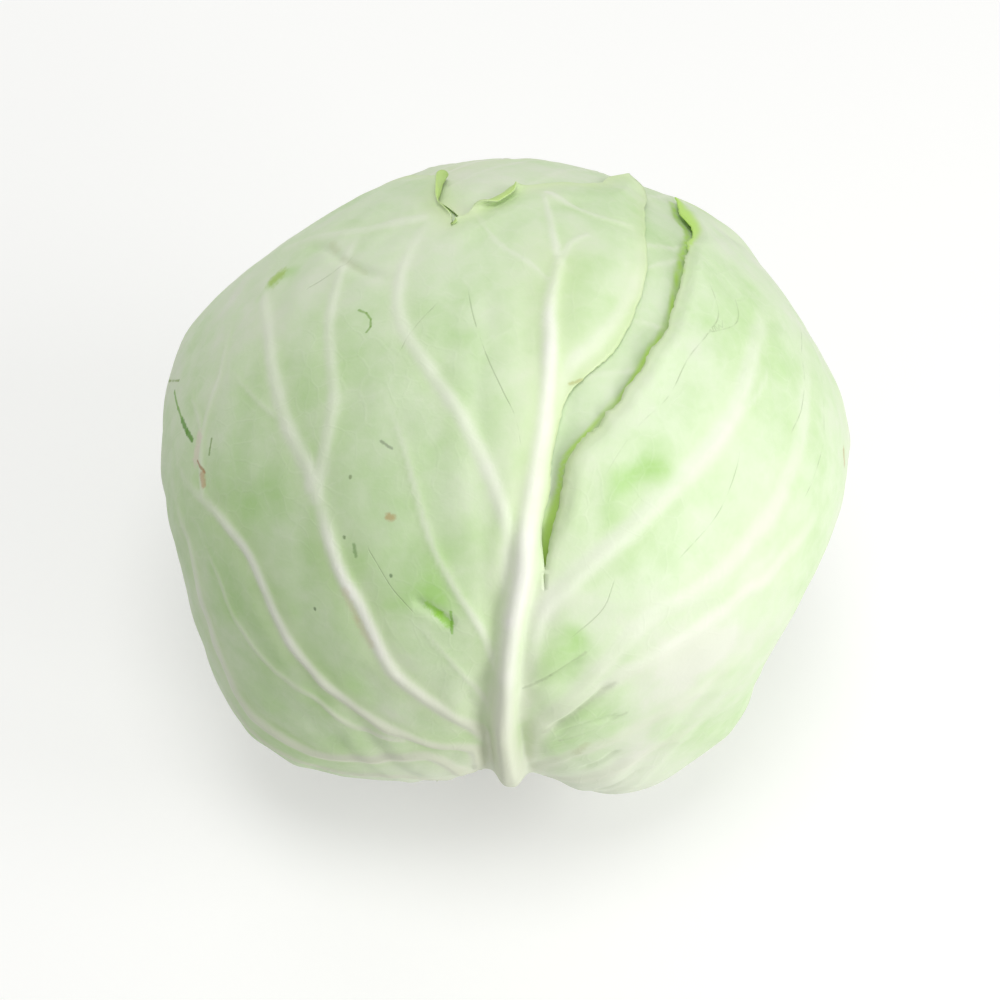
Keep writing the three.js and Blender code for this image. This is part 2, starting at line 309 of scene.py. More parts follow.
class Leaf:
    """A wrapper leaf: where its rib lies round the stem, its half widths on the left and right and
    how far its tip is pulled over the crown, all in degrees, and how fine its grid is."""

    rib_line = PLAIN_RIB
    dents = ()
    tints = ((0, 160, -0.6, 30),)
    creases = ()
    fine = ()

    def __init__(self, name, slot, rib, left, right, over, seed, columns, rows, loft=1.0,
                 relief=1.0):
        self.name = name
        self.slot = slot
        self.rib = rib
        self.left = left
        self.right = right
        self.over = over
        self.seed = seed
        self.columns = columns
        self.rows = rows
        self.loft = loft
        self.relief_share = relief
        self.hinge = direction(np.float64(rib + 90), np.float64(90))
        self.margin = self.outline()
        self.margin_rays = self.rays_at(self.margin)
        self.veins = self.make_veins()

    def pull(self, polar):
        return math.radians(self.over) * smoothstep(polar, 0, 180)

    def rays_at(self, places):
        """The directions of places on the leaf."""
        flat = direction(self.rib + places[..., 0], places[..., 1])
        rays = flat
        for _ in range(6):  # enough for the pull to settle
            rays = turned(flat, self.hinge, -self.pull(polar_of(rays)))
        return rays

    def place_of(self, rays):
        """The places on the leaf of directions: the reverse of rays_at."""
        flat = turned(rays, self.hinge, self.pull(polar_of(rays)))
        return (around_of(flat) - self.rib + 180) % 360 - 180, polar_of(flat)

    def line_rays(self, points, gap=1.2):
        """Directions along a smooth line through places, about gap mm apart."""
        line = smooth_line(points)
        count = max(4, round(lengths_along(line)[-1] / gap))
        return self.rays_at(spaced(line, count))

    def sides(self):
        """The leaf's left side, top, right side and foot."""
        def scaled(shape, half):
            return [(share * half, polar) for share, polar in shape]

        left = smooth_line(scaled(HALF_SIDE, -self.left))
        right = smooth_line(scaled(HALF_SIDE, self.right))
        top = scaled(HALF_TOP, -self.left) + scaled(HALF_TOP, self.right)[-2::-1]
        return left, smooth_line(top), right, np.array([left[0], right[0]])

    def outline(self):
        left, top, right, _ = self.sides()
        return np.vstack([left, top[1:], right[::-1][1:]])

    def patches(self):
        return [Patch(*self.sides(), self.columns)]

    def make_veins(self):
        """Side veins that leave the rib by turns, each with a fork."""
        draw = np.random.default_rng(self.seed)
        veins = []
        feet = [24, 29, 36, 46, 58, 72, 88, 106, 124]
        ends = [(0.9, 44), (0.98, 66), (0.98, 88), (0.93, 110), (0.82, 126), (0.66, 139),
                (0.48, 149), (0.32, 157), (0.18, 161)]
        for sign, half in ((-1, self.left), (1, self.right)):
            for foot, (share, end) in zip(feet, ends):
                foot = foot + draw.uniform(-3, 3)
                end = end + draw.uniform(-4, 4)
                reach = sign * half * share
                lag = draw.uniform(0.08, 0.16)
                line = [(0, foot - 6), (reach * (0.2 - lag * 0.5), foot + (end - foot) * 0.25),
                        (reach * (0.5 - lag * 0.5), foot + (end - foot) * 0.6),
                        (reach * 0.78, foot + (end - foot) * 0.85), (reach, end)]
                width = max(1.8 - 0.011 * foot, 0.7)
                veins.append(Vein(line, width, 0.4, width))
                fork = smooth_line(line)[draw.integers(20, 28)]
                up = (fork[0] + reach * 0.12, fork[1] + 12)
                over = (fork[0] + reach * 0.2, fork[1] + 24)
                if over[1] < 155:
                    veins.append(Vein([tuple(fork), up, over], 0.8, 0.3, 0.3))
        return veins

    def beside_its_rib(self, rays, reach):
        """The rays within reach mm of the rib: their numbers, distances from it in mm, and how
        many degrees from the stem they lie along it."""
        near, away, along, _ = beside(rays, self.line_rays(self.rib_line), reach)
        start, end = self.rib_line[0][1], self.rib_line[-1][1]
        return near, away, start + along * (end - start)

    def relief(self, rays):
        """How the leaf's outside stands over its blade in mm, and the values its skin needs."""
        rough = rays * MEAN_RADIUS
        _, from_foot = self.place_of(rays)
        beside_rib, from_rib, polar = self.beside_its_rib(rays, RIB_REACH)
        rib_half, height, groove = (read(RIB_STEPS, polar, column) for column in (1, 2, 3))
        clear = np.ones(len(rays))
        clear[beside_rib] = smoothstep(from_rib, rib_half, rib_half + VEINS_START)

        tent = np.zeros(len(rays))
        ridge = np.zeros(len(rays))
        white = np.zeros(len(rays))
        halo = np.zeros(len(rays))
        for vein in self.veins:
            near, away, along, _ = beside(rays, self.line_rays(vein.places), VEIN_REACH)
            half = vein.start + (vein.end - vein.start) * along
            ending = 1 - smoothstep(along, 0.8, 1)
            raised = ending * half * VEIN_RISE * vein.clarity * bell(away, half + 0.2)
            ridge[near] = np.maximum(ridge[near], raised)
            crest = vein.crest * (1 - 0.75 * along)
            slope = np.exp(-(np.sqrt(away**2 + CREST_TOP**2) - CREST_TOP) / CREST_FALL)
            tent[near] += (smoothstep(along, 0, 0.06) * crest * slope) ** 3
            strength = np.clip(half / 1.5, 0.15, 1) * (0.25 + 0.75 * ending) * vein.clarity
            breadth = (1.25 * half + 0.2) * (2 - vein.clarity)
            white[near] = np.maximum(white[near], strength * bell(away, breadth, 3))
            halo[near] = np.maximum(halo[near], strength * np.exp(-away / (half * 2.5 + 1)))

        relief = (ridge + np.cbrt(tent)) * clear
        valley = bell(from_rib - 1.3 * rib_half - 3, 4)
        relief[beside_rib] += height * bell(from_rib, rib_half, RIB_POWER) - groove * valley
        white *= 0.7 + 0.3 * clear
        tip = self.rib_line[-1][1]
        fading = smoothstep(polar, tip - RIB_FADE, tip)
        pale = bell(from_rib, rib_half * 1.1, 3) * (1 - 0.7 * fading)
        white[beside_rib] = np.maximum(white[beside_rib], pale)
        halo[beside_rib] = np.maximum(halo[beside_rib], np.exp(-from_rib / 9))

        for places, depth, half in self.creases:
            near, away, along, _ = beside(rays, self.line_rays(places), 5 * half)
            ends = smoothstep(np.abs(along - 0.5), 0.5, 0.3)
            relief[near] -= depth * bell(away, half) * ends
        swell = 0.45 * waves(rough, 46, self.seed) + 0.08 * waves(rough, 13, self.seed + 1)
        relief += swell * clear
        relief += self.blobs(rays, self.dents)
        bent = np.stack([waves(rough, 24, self.seed + k) for k in (5, 6, 7)], axis=1)
        tint = self.blobs(unit(rays + 0.05 * bent), self.tints)
        values = {"vein": white, "halo": halo, "tint": tint, "height": from_foot / 180}
        return relief * self.relief_share, values

    def blobs(self, rays, blobs):
        """Soft round swells: (around, polar, height, spread in mm)."""
        total = np.zeros(len(rays))
        for around, polar, height, spread in blobs:
            middle = self.rays_at(np.array([around, polar], float))
            total += height * bell(distance_from(middle, rays), spread)
        return total

    def fine_lines(self, rays):
        """Signed distance in mm to the nearest fine line, and 1 beside a line or 0."""
        signed = np.full(len(rays), float(FINE_REACH))
        weight = np.zeros(len(rays))
        for places in self.fine:
            near, away, along, side = beside(rays, self.line_rays(places, 0.8), FINE_REACH)
            closer = away < np.abs(signed[near])
            near, away, along, side = near[closer], away[closer], along[closer], side[closer]
            signed[near] = away * side
            weight[near] = smoothstep(away, 2.4, 1.2) * smoothstep(np.abs(along - 0.5), 0.5, 0.4)
        return {"fine": signed, "fine_weight": weight}

    def outer_radius(self, rays, under, relief, edge_distance):
        """Radius of the leaf's outside over the layers under it. It thins and settles towards
        its margins, and is pressed flat where the head rests."""
        inland = smoothstep(edge_distance, 0, SINKING)
        slack = surface_distance(rays) - free_radius(rays)
        loose = TOUCHING + (1 - TOUCHING) * smoothstep(slack, SETTLED, FREE)
        raised = np.maximum(self.loft + relief, 0) * (0.15 + 0.85 * inland) * loose
        return under + GAP + wall_at(edge_distance) + raised


# The front leaf. Its seam runs beside the rib up to where the tear starts.
FRONT_RIB = [(5, FOOT), (3.5, 22), (1.5, 34), (0, 50), (0.5, 62), (1.5, 74), (3, 82), (4, 90),
             (6, 100), (8, 111), (9, 121), (10, 129), (14, 138)]
SEAM = [(5, FOOT), (6, 30), (6.5, 60), (7, 83)]
TEAR_RIB_SIDE = [(7, 83), (6.6, 90), (8, 97), (8.5, 103), (10, 108), (12, 113), (16, 116),
                 (22, 120), (28, 126), (34, 132), (40, 138), (46, 143.5), (60, 150), (76, 153),
                 (82, 157)]
TEAR_FLAP_SIDE = [(7, 83), (8, 90), (9.6, 96), (10.5, 101), (13, 104.5), (16, 107), (20, 110.5),
                  (24, 114), (29, 119), (34, 122.5), (37, 125.5), (42, 130), (46, 133.3), (52, 137),
                  (60, 140), (70, 143), (78, 146.5), (88, 148.5)]
FLAP_LIFT = [(83, 0), (90, 0.4), (97, 1.2), (103, 1.4), (106, 0.4), (112, 0.8), (118, 1.6),
             (121, 2.0), (125, 0.5), (130, 1.0), (134, 1.8), (138, 1.2), (149, 0.8)]
CORNER_LIFT = [(83, 0), (147, 0), (153, 0.8), (157, 2.6)]
FRONT_LEFT_SIDE = [(-40, FOOT), (-62, 19), (-85, 36), (-100, 65), (-108, 95), (-108, 125),
                   (-98, 150)]
FRONT_LEFT_TOP = [
    (-98, 150), (-80, 161), (-60, 163.5), (-45, 163), (-38, 162), (-33, 158.5), (-29, 154.5),
    (-26, 152.2),
    (-22, 150.4), (-19, 148.7), (-16.5, 147), (-14, 148.6), (-10.5, 150.3), (-6, 152.3),
    (0, 155), (6, 158), (16, 160), (31, 160.8), (46, 159.5), (60, 159), (72, 159.5), (82, 157),
]
FRONT_RIGHT_SIDE = [(40, FOOT), (60, 18), (80, 32), (96, 55), (104, 80), (106, 100), (104, 118)]
FRONT_RIGHT_TOP = [(88, 148.5), (92.5, 145), (97, 139), (101, 130), (104, 118)]
SEAM_SHARE = 0.42    # of the leaf's rows, which lie below the tear
LEFT_SHARE = 0.6     # of the leaf's columns, which lie left of the seam
RIB_SIDE_TEETH, FLAP_SIDE_TEETH = 0.12, 0.22  # how ragged the tear is, in degrees

FRONT_VEINS = [
    # At the top, where the rib forks.
    Vein([(14, 137), (15, 147), (18, 158)], 1.0, 0.5, 0.3),
    Vein([(14, 137), (19, 142), (27, 144)], 0.8, 0.4),
    Vein([(11, 133), (7, 137), (-1, 142), (-6, 147), (-11, 152)], 0.6, 0.4, 0.2),
    Vein([(20, 157), (29, 150), (36, 147), (45, 145)], 0.9, 0.4, 0.3),
    # Left of the rib, from the nearest to the lowest.
    Vein([(1, 66), (2, 73), (1, 80), (1, 89), (-1, 96), (-4, 103), (-8, 110), (-14, 117),
          (-21, 125), (-24, 132), (-25, 139), (-24, 148)], 1.4, 1.0, 1.3, 0.7),
    Vein([(-1, 52), (0, 60), (-2, 67), (-4, 73), (-8, 80), (-12, 88), (-15, 98), (-18, 106),
          (-22, 113)], 1.0, 0.4, 0.8),
    Vein([(-2, 46), (-3, 54), (-6, 61), (-10, 67), (-16, 75)], 0.8, 0.3, 0.5),
    Vein([(-5, 28), (-4, 42), (-8, 50), (-13, 55), (-19, 61), (-22, 66), (-25, 76), (-28, 82),
          (-31, 92), (-33, 97)], 1.7, 1.4, 3.2),
    Vein([(-33, 96), (-34, 99), (-40, 106), (-45, 113), (-53, 122), (-66, 131)],
         1.5, 0.9, 0.6, 0.65),
    Vein([(-38, 104), (-41, 106), (-48, 109), (-57, 113)], 0.6, 0.3),
    Vein([(-32, 94), (-32, 98), (-31, 104), (-31, 111), (-34, 118), (-37, 124), (-40, 132),
          (-46, 145)], 1.2, 0.8, 0.6, 0.65),
    Vein([(-9, 25), (-8, 40), (-18, 44), (-23, 47), (-29, 51), (-38, 61), (-42, 69), (-46, 82),
          (-52, 88), (-58, 91), (-66, 94)], 1.8, 1.1, 3.2),
    Vein([(-58, 91), (-60, 100), (-60, 106), (-60, 112), (-65, 121)], 0.8, 0.4, 0.3),
    Vein([(-60, 100), (-63, 104), (-70, 108)], 0.6, 0.3),
    Vein([(-25, 46), (-35, 49), (-41, 56), (-48, 61), (-52, 67), (-55, 73), (-56, 79), (-60, 86)],
         0.9, 0.4, 0.7),
    Vein([(-14, 24), (-20, 39), (-37, 39), (-52, 41), (-60, 47), (-66, 54), (-65, 60), (-65, 71),
          (-64, 81), (-70, 92)], 1.7, 0.9, 3.0),
    Vein([(-22, 20), (-38, 30), (-56, 34), (-68, 44), (-74, 56)], 1.4, 0.8, 1.6),
    Vein([(-27, 148), (-36, 146), (-46, 143), (-62, 139), (-72, 134)], 1.1, 0.6, 0.5, 0.6),
    # Right of the rib.
    Vein([(7, 103), (8, 107), (10, 112), (13, 118), (19, 122), (29, 130), (36, 136), (41, 141)],
         1.5, 0.8, 0.8, 0.6),
    Vein([(3, 50), (3, 60), (4, 67), (6, 75), (12, 82), (20, 89), (29, 96), (37, 102), (43, 107),
          (50, 114), (58, 120), (71, 126)], 2.2, 1.3, 2.2, 0.55),
    Vein([(41, 106), (49, 109), (56, 114)], 0.6, 0.3),
    Vein([(5, 36), (8, 49), (15, 59), (24, 72), (32, 77), (39, 81), (46, 87), (52, 93), (58, 100),
          (67, 110), (76, 116)], 2.0, 1.2, 1.5, 0.45),
    Vein([(8, 30), (8, 45), (13, 54), (22, 62), (29, 66), (37, 71), (44, 76), (50, 79), (57, 84),
          (68, 92)], 1.9, 1.0, 1.5, 0.5),
    Vein([(12, 24), (18, 38), (30, 47), (42, 56), (54, 68)], 1.6, 0.8, 0.8, 0.4),
    Vein([(20, 20), (30, 28), (42, 38), (54, 50)], 1.4, 0.8, 0.6, 0.4),
]
# Folds pressed into the blade: places, depth and half width in mm.
FRONT_CREASES = [
    ([(-62, 137), (-52, 138), (-43, 136), (-34, 134), (-25, 133)], 0.8, 1.4),
    ([(5, 60), (9, 63), (15, 67)], 1.0, 0.9),
    ([(10, 48), (15, 53), (22, 62)], 1.3, 1.6),
    ([(12, 47), (19, 51), (27, 53)], 0.9, 0.9),
    ([(25, 34), (29, 37), (32, 42)], 0.8, 1.1),
    ([(43, 24), (45, 30), (48, 35)], 0.7, 1.0),
    ([(-16, 78), (-12, 76), (-8, 73)], 1.2, 1.3),
]
# Hair lines: the smallest veins and cracks that show.
FRONT_FINE = [
    [(-8, 132), (-6, 126), (-3, 119), (0, 113), (2, 109), (3, 104)],
    [(-15, 75), (-19, 80), (-23, 87)],
    [(17, 99), (20, 103), (24, 107), (30, 111), (36, 117), (43, 121), (48, 124), (51, 131)],
    [(43, 121), (52, 122), (57, 127)],
    [(55, 101), (63, 107), (70, 114), (78, 118)],
    [(58, 91), (66, 98), (72, 106)],
    [(30, 84), (38, 92), (44, 103)],
    [(-14, 129), (-18, 124), (-21, 117)],
    [(12, 71), (17, 76), (19, 82)],
    [(-47, 129), (-43, 133), (-40, 137)],
]
# Hollows and swells of the front leaf's blade: place, height and spread in mm.
FRONT_DENTS = [
    (13, 62, -2.6, 10), (-5, 58, -2.0, 8), (23, 99, -1.4, 8), (-26, 60, -1.8, 9),
    (-46, 62, -1.6, 9), (34, 36, 2.5, 13), (38, 74, 1.5, 14),
]
# Patches of the front leaf's blade that are greener, or paler where the amount is below 0:
# place, amount and spread in mm. The broad pale patches low on the right are painted
# highlight where the key light falls.
FRONT_TINTS_AND_HIGHLIGHT = [
    (-12, 78, 0.8, 9), (-6, 88, 0.45, 9), (-11, 105, 0.3, 8), (-22, 94, 0.4, 14),
    (-17, 81, 0.3, 10), (-44, 94, 0.4, 13), (-56, 74, 0.4, 7), (-61, 56, 0.3, 8),
    (-35, 60, 0.35, 10), (-10, 85, 0.3, 7), (-31, 84, 0.3, 9), (-51, 111, 0.15, 10),
    (10, 68, 0.8, 8), (24, 99, 0.8, 7), (17, 93, 0.4, 6), (16, 84, 0.25, 7), (21, 42, 0.35, 7),
    (-37, 110, -0.1, 9), (-59, 130, 0.6, 4), (-50, 62, 0.25, 12), (-12, 126, 0.3, 8),
    (19, 133, 0.3, 7), (25, 149, 0.3, 6), (-63, 119, -0.25, 20), (5, 144, -0.25, 16),
    # Painted highlight: (37, 66), (38, 38) and (50, 26) pale the lit right side.
    (37, 66, -0.8, 18), (-10, 113, 0.25, 9), (-4, 112, 0.3, 7), (20, 97, 0.3, 6),
    (-54, 38, 0.45, 16), (-42, 72, 0.25, 26), (38, 38, -0.6, 16), (50, 26, -0.5, 14),
]
# Rolled parts of the front leaf's top: place, width along the margin,
# length and turn of the roll.
FRONT_ROLLS = [
    ((-1, 155), 9, 4.8, 165),
    ((-31.5, 157), 9, 6.0, 105),
    ((-23, 151), 6, 2.2, 120),
]


def ragged(line, size, seed):
    """A line of places with small seeded teeth, up to size degrees deep, and its ends kept."""
    draw = np.random.default_rng(seed)
    count = len(line)
    teeth = np.arange(0, count + 4, 4)
    rough = np.interp(np.arange(count), teeth, draw.normal(size=len(teeth)))
    fine = draw.normal(size=count) * 0.5
    shift = (rough + fine) * size * np.sin(np.linspace(0, math.pi, count)) ** 0.3
    shift[0] = shift[-1] = 0
    heading = unit(np.gradient(line, axis=0))
    return line + shift[:, None] * np.stack([-heading[:, 1], heading[:, 0]], axis=1)


class FrontLeaf(Leaf):
    """The outermost leaf, in two patches that part where it is torn."""

    rib_line = FRONT_RIB
    dents = FRONT_DENTS
    tints = FRONT_TINTS_AND_HIGHLIGHT
    creases = FRONT_CREASES
    fine = FRONT_FINE

    def make_veins(self):
        return FRONT_VEINS

    def outline(self):
        return np.vstack([
            smooth_line(FRONT_LEFT_SIDE),
            smooth_line(FRONT_LEFT_TOP)[1:],
            smooth_line(FRONT_RIGHT_TOP),
            smooth_line(FRONT_RIGHT_SIDE)[-2::-1],
        ])

    def patches(self):
        seam = spaced(smooth_line(SEAM), round(self.rows * SEAM_SHARE))
        rest = self.rows - len(seam) + 1
        rib_tear = spaced(smooth_line(TEAR_RIB_SIDE), rest)
        rib_tear = ragged(rib_tear, RIB_SIDE_TEETH, self.seed)
        flap_tear = spaced(smooth_line(TEAR_FLAP_SIDE), rest)
        flap_tear = ragged(flap_tear, FLAP_SIDE_TEETH, self.seed + 1)
        left, right = smooth_line(FRONT_LEFT_SIDE), smooth_line(FRONT_RIGHT_SIDE)
        return [
            Patch(left, smooth_line(FRONT_LEFT_TOP), np.vstack([seam, rib_tear[1:]]),
                  np.array([left[0], seam[0]]), round(self.columns * LEFT_SHARE),
                  rolls=FRONT_ROLLS, torn=rib_tear, lifted=CORNER_LIFT, taper=0.8),
            Patch(np.vstack([seam, flap_tear[1:]]), smooth_line(FRONT_RIGHT_TOP), right,
                  np.array([seam[0], right[0]]), round(self.columns * (1 - LEFT_SHARE)),
                  lip=0.1, torn=flap_tear, lifted=FLAP_LIFT, taper=2.5),
        ]


DETAIL = 1.0


def steps(count):
    return round(count * DETAIL)


# From the inside out. The numbers are the rib's place, the half widths, the pull over the crown
# and the seed.
inner_grid = steps(110), steps(100)
leaves = [
    Leaf("inner_leaf_left", "inner_leaf", -40, 104, 98, 14, 11, *inner_grid, relief=0.4),
    Leaf("inner_leaf_back", "inner_leaf", -170, 106, 104, 20, 12, *inner_grid, relief=0.4),
    Leaf("inner_leaf_right", "inner_leaf", 50, 100, 106, 22, 13, *inner_grid, relief=0.4),
    Leaf("outer_leaf_left", "outer_leaf", -100, 78, 104, 16, 14, steps(210), steps(190)),
    Leaf("outer_leaf_right", "outer_leaf", 130, 134, 88, 38, 15, steps(230), steps(200)),
    FrontLeaf("outer_leaf_front", "outer_leaf", 0, 108, 102, 0, 16, steps(316), steps(238),
              loft=1.4),
]


# ------------------------------
# Layers. The head's radius under each leaf is kept on one table of
# directions, so that every leaf lies on the ones inside it.
# ------------------------------
TABLE_STEP = 0.75
table_around = np.arange(-180, 180 + TABLE_STEP / 2, TABLE_STEP)
table_polar = np.arange(0, 180 + TABLE_STEP / 2, TABLE_STEP)
table_rays = direction(*np.meshgrid(table_around, table_polar))
flat_rays = table_rays.reshape(-1, 3)


def look_up(table, rays):
    """A table's value at other directions."""
    x = (around_of(rays) + 180) / TABLE_STEP
    y = polar_of(rays) / TABLE_STEP
    i = np.clip(x.astype(int), 0, table.shape[1] - 2)
    j = np.clip(y.astype(int), 0, table.shape[0] - 2)
    fx, fy = x - i, y - j
    low = table[j, i] * (1 - fx) + table[j, i + 1] * fx
    high = table[j + 1, i] * (1 - fx) + table[j + 1, i + 1] * fx
    return low * (1 - fy) + high * fy


def softened(table, passes=3, spread=True):
    """A table smoothed over a few degrees, after its highest values are spread if asked: this
    is how the next leaf lies over a ridge."""
    ring = table[:, :-1]
    for step in range(passes + 1):
        if step == 0 and not spread:
            continue
        near = [np.roll(ring, 1, axis=1), ring, np.roll(ring, -1, axis=1)]
        ring = np.maximum.reduce(near) if step == 0 else (near[0] + 2 * near[1] + near[2]) / 4
        up = np.vstack([ring[1:], ring[-1:]])
        down = np.vstack([ring[:1], ring[:-1]])
        ring = np.maximum.reduce([up, ring, down]) if step == 0 else (up + 2 * ring + down) / 4
    return np.hstack([ring, ring[:, :1]])


def inside(outline, x, y):
    crossings = np.zeros(x.shape, bool)
    for (ax, ay), (bx, by) in zip(outline, np.roll(outline, -1, axis=0)):
        if ay != by:
            crossings ^= ((ay > y) != (by > y)) & (x < ax + (y - ay) / (by - ay) * (bx - ax))
    return crossings


def covered_by(leaf, rays):
    return inside(leaf.margin, *leaf.place_of(rays))


def lift(leaf):
    """1 on the table where a leaf lifts the ones over it by its whole height."""
    covered = covered_by(leaf, flat_rays)
    away = distance_to(flat_rays, leaf.margin_rays, math.radians(LIFT_END) * MEAN_RADIUS)
    away = np.degrees(away / MEAN_RADIUS)
    raised = np.where(covered, 1, 1 - smoothstep(away, LIFT_FULL, LIFT_END))
    return raised.reshape(table_rays.shape[:2])


def stack(heart):
    """The radius under each leaf in turn, and last the radius of the whole head."""
    layers = [heart]
    for leaf, raised, relief, edge in zip(leaves, lifts, reliefs, edges):
        radius = leaf.outer_radius(flat_rays, layers[-1].ravel(), relief, edge)
        top = np.minimum(radius, surface_distance(flat_rays)).reshape(heart.shape)
        layers.append(layers[-1] + (softened(top) - layers[-1]) * raised)
    return layers


def inland_distance(leaf):
    """On the table, how far inside a leaf's margin each direction lies, in mm."""
    edge = distance_to(flat_rays, leaf.margin_rays, MARGIN_REACH)
    edge[~covered_by(leaf, flat_rays)] = 0
    return edge


def beside_front_rib():
    """How far the head stands out over its plain shape along the front leaf's rib."""
    near, away, polar = leaves[-1].beside_its_rib(flat_rays, RIB_SINK_REACH)
    half, height = read(RIB_STEPS, polar, 1), read(RIB_STEPS, polar, 2)
    sink = read(RIB_SINKS, polar)
    stand = np.zeros(len(flat_rays))
    stand[near] = height * bell(away, half, RIB_POWER) - sink * bell(away, RIB_SINK_WIDTH)
    return stand.reshape(table_rays.shape[:2])


lifts = [lift(leaf) for leaf in leaves]
reliefs = [leaf.relief(flat_rays)[0] for leaf in leaves]
edges = [inland_distance(leaf) for leaf in leaves]
wanted = np.minimum(free_radius(table_rays) + beside_front_rib(), surface_distance(table_rays))
heart_table = wanted - DEPTH
# The heart is moved in or out until the leaves over it end on the wanted shape.
for _ in range(HEART_ROUNDS):
    excess = stack(heart_table)[-1] - wanted
    heart_table = heart_table - softened(excess, 10, spread=False)
layers = stack(heart_table)


# ------------------------------
# Meshes
# ------------------------------
def link(data):
    """A new object in the scene, with the name of its mesh, lamp or camera."""
    thing = bpy.data.objects.new(data.name, data)
    bpy.context.scene.collection.objects.link(thing)
    return thing


def placed(points):
    """Points about the head's centre in mm, as places in the frame in metres."""
    return (points + (0, 0, CENTRE_HEIGHT)) * MM


def move(bm, points):
    """Moves the corners of a shape to points about the head's centre."""
    for vert, place in zip(bm.verts, placed(points).tolist()):
        vert.co = place


def mesh_from(bm, name):
    """The mesh of a finished shape, which is then let go."""
    mesh = bpy.data.meshes.new(name)
    bm.to_mesh(mesh)
    bm.free()
    return mesh


def set_values(mesh, values, order):
    for label, value in values.items():
        layer = mesh.attributes.new(label, "FLOAT", "POINT")
        layer.data.foreach_set("value", value[order].astype(np.float32))


def sheet_mesh(name, sizes, points, values):
    """One sheet from grids of points, welded where they meet, with its values as attributes."""
    bm = bmesh.new()
    for columns, rows in sizes:
        bmesh.ops.create_grid(bm, x_segments=columns - 1, y_segments=rows - 1, size=1)
    number = bm.verts.layers.int.new("number")
    for i, vert in enumerate(bm.verts):
        vert[number] = i
    move(bm, points)
    bmesh.ops.remove_doubles(bm, verts=bm.verts, dist=1e-7)
    bmesh.ops.recalc_face_normals(bm, faces=bm.faces)
    mesh = mesh_from(bm, name)
    order = np.zeros(len(mesh.vertices), np.int32)
    mesh.attributes["number"].data.foreach_get("value", order)
    set_values(mesh, values, order)
    mesh.attributes.remove(mesh.attributes["number"])
    return mesh


def facing_out(mesh):
    """Turns a sheet's faces away from the head's centre. Some of them show which way they are."""
    centre = np.array([0, 0, CENTRE_HEIGHT * MM])
    outward = sum(np.dot(np.array(p.center) - centre, p.normal) for p in list(mesh.polygons)[::97])
    if outward < 0:
        mesh.flip_normals()


def apply_modifiers(piece):
    shapes = bpy.context.evaluated_depsgraph_get()
    shaped = piece.evaluated_get(shapes)
    mesh = bpy.data.meshes.new_from_object(shaped, preserve_all_data_layers=True, depsgraph=shapes)
    piece.modifiers.clear()
    old = piece.data
    piece.data = mesh
    mesh.name = piece.name
    bpy.data.meshes.remove(old)


INNER_KEPT = 0.25    # share of a leaf's inner faces that are left, since they hardly show


def thicken(piece, walls):
    """Gives a sheet its wall inwards, by tenths of a full one, then thins out its inner faces."""
    count = len(piece.data.vertices)
    group = piece.vertex_groups.new(name="wall")
    for step in range(11):
        chosen = np.nonzero(np.abs(walls - step / 10) <= 0.05)[0]
        group.add(chosen.tolist(), step / 10, "REPLACE")
    solid = piece.modifiers.new("wall", "SOLIDIFY")
    solid.thickness = BLADE * MM
    solid.offset = -1
    solid.vertex_group = group.name
    apply_modifiers(piece)
    mesh = piece.data
    inner = np.zeros(len(mesh.vertices), np.float32)
    inner[count:] = 1
    mesh.attributes.new("inner", "FLOAT", "POINT").data.foreach_set("value", inner)
    hidden = piece.vertex_groups.new(name="inner_face")
    hidden.add(np.nonzero(inner)[0].tolist(), 1, "REPLACE")
    thin = piece.modifiers.new("thin", "DECIMATE")
    thin.ratio = (1 + INNER_KEPT) / 2
    thin.vertex_group = hidden.name
    apply_modifiers(piece)
    piece.vertex_groups.clear()


LIP_ROWS = 6
LIP_PARTS = 4        # steps of the curve from one row to the next


def lip(points, length, turn):
    """Rows of points that carry a sheet on past its last row, rolled outwards by each column's
    length and turn."""
    last = points[-1]
    along = unit(np.gradient(last, axis=0))
    out = last - points[-3]
    onward = unit(out - (out * along).sum(axis=1, keepdims=True) * along)
    normal = np.cross(along, onward)
    normal *= np.sign((normal * last).sum(axis=1, keepdims=True))
    rows = []
    place = last
    count = LIP_ROWS * LIP_PARTS
    for step in range(1, count + 1):
        share = (step - 0.5) / count
        angle = np.radians(turn) * smoothstep(share * length, 0, np.maximum(length * 0.6, 2.2))
        ahead = np.cos(angle)[:, None] * onward + np.sin(angle)[:, None] * normal
        place = place + ahead * (length / count)[:, None]
        if step % LIP_PARTS == 0:
            rows.append(place)
    return np.array(rows)


def roll_sizes(leaf, patch, top_rays, above):
    """Length and turn of the roll at each column of a patch's top."""
    rough = top_rays * MEAN_RADIUS
    open_margin = np.full(len(top_rays), patch.lip)
    for other in above:
        clear = smoothstep(distance_to(top_rays, other.margin_rays, 14), 4, 12)
        open_margin *= np.where(covered_by(other, top_rays), 0, clear)
    length = 0.4 + open_margin * (0.8 + 0.4 * waves(rough, 30, leaf.seed + 2))
    turn = open_margin * (12 + 14 * waves(rough, 38, leaf.seed + 3))
    for place, width, most, angle in patch.rolls:
        share = bell(distance_from(leaf.rays_at(np.array(place, float)), top_rays), width, 4)
        length = length + (most - length) * share
        turn = turn + (angle - turn) * share
    return np.maximum(length, 0.3), turn


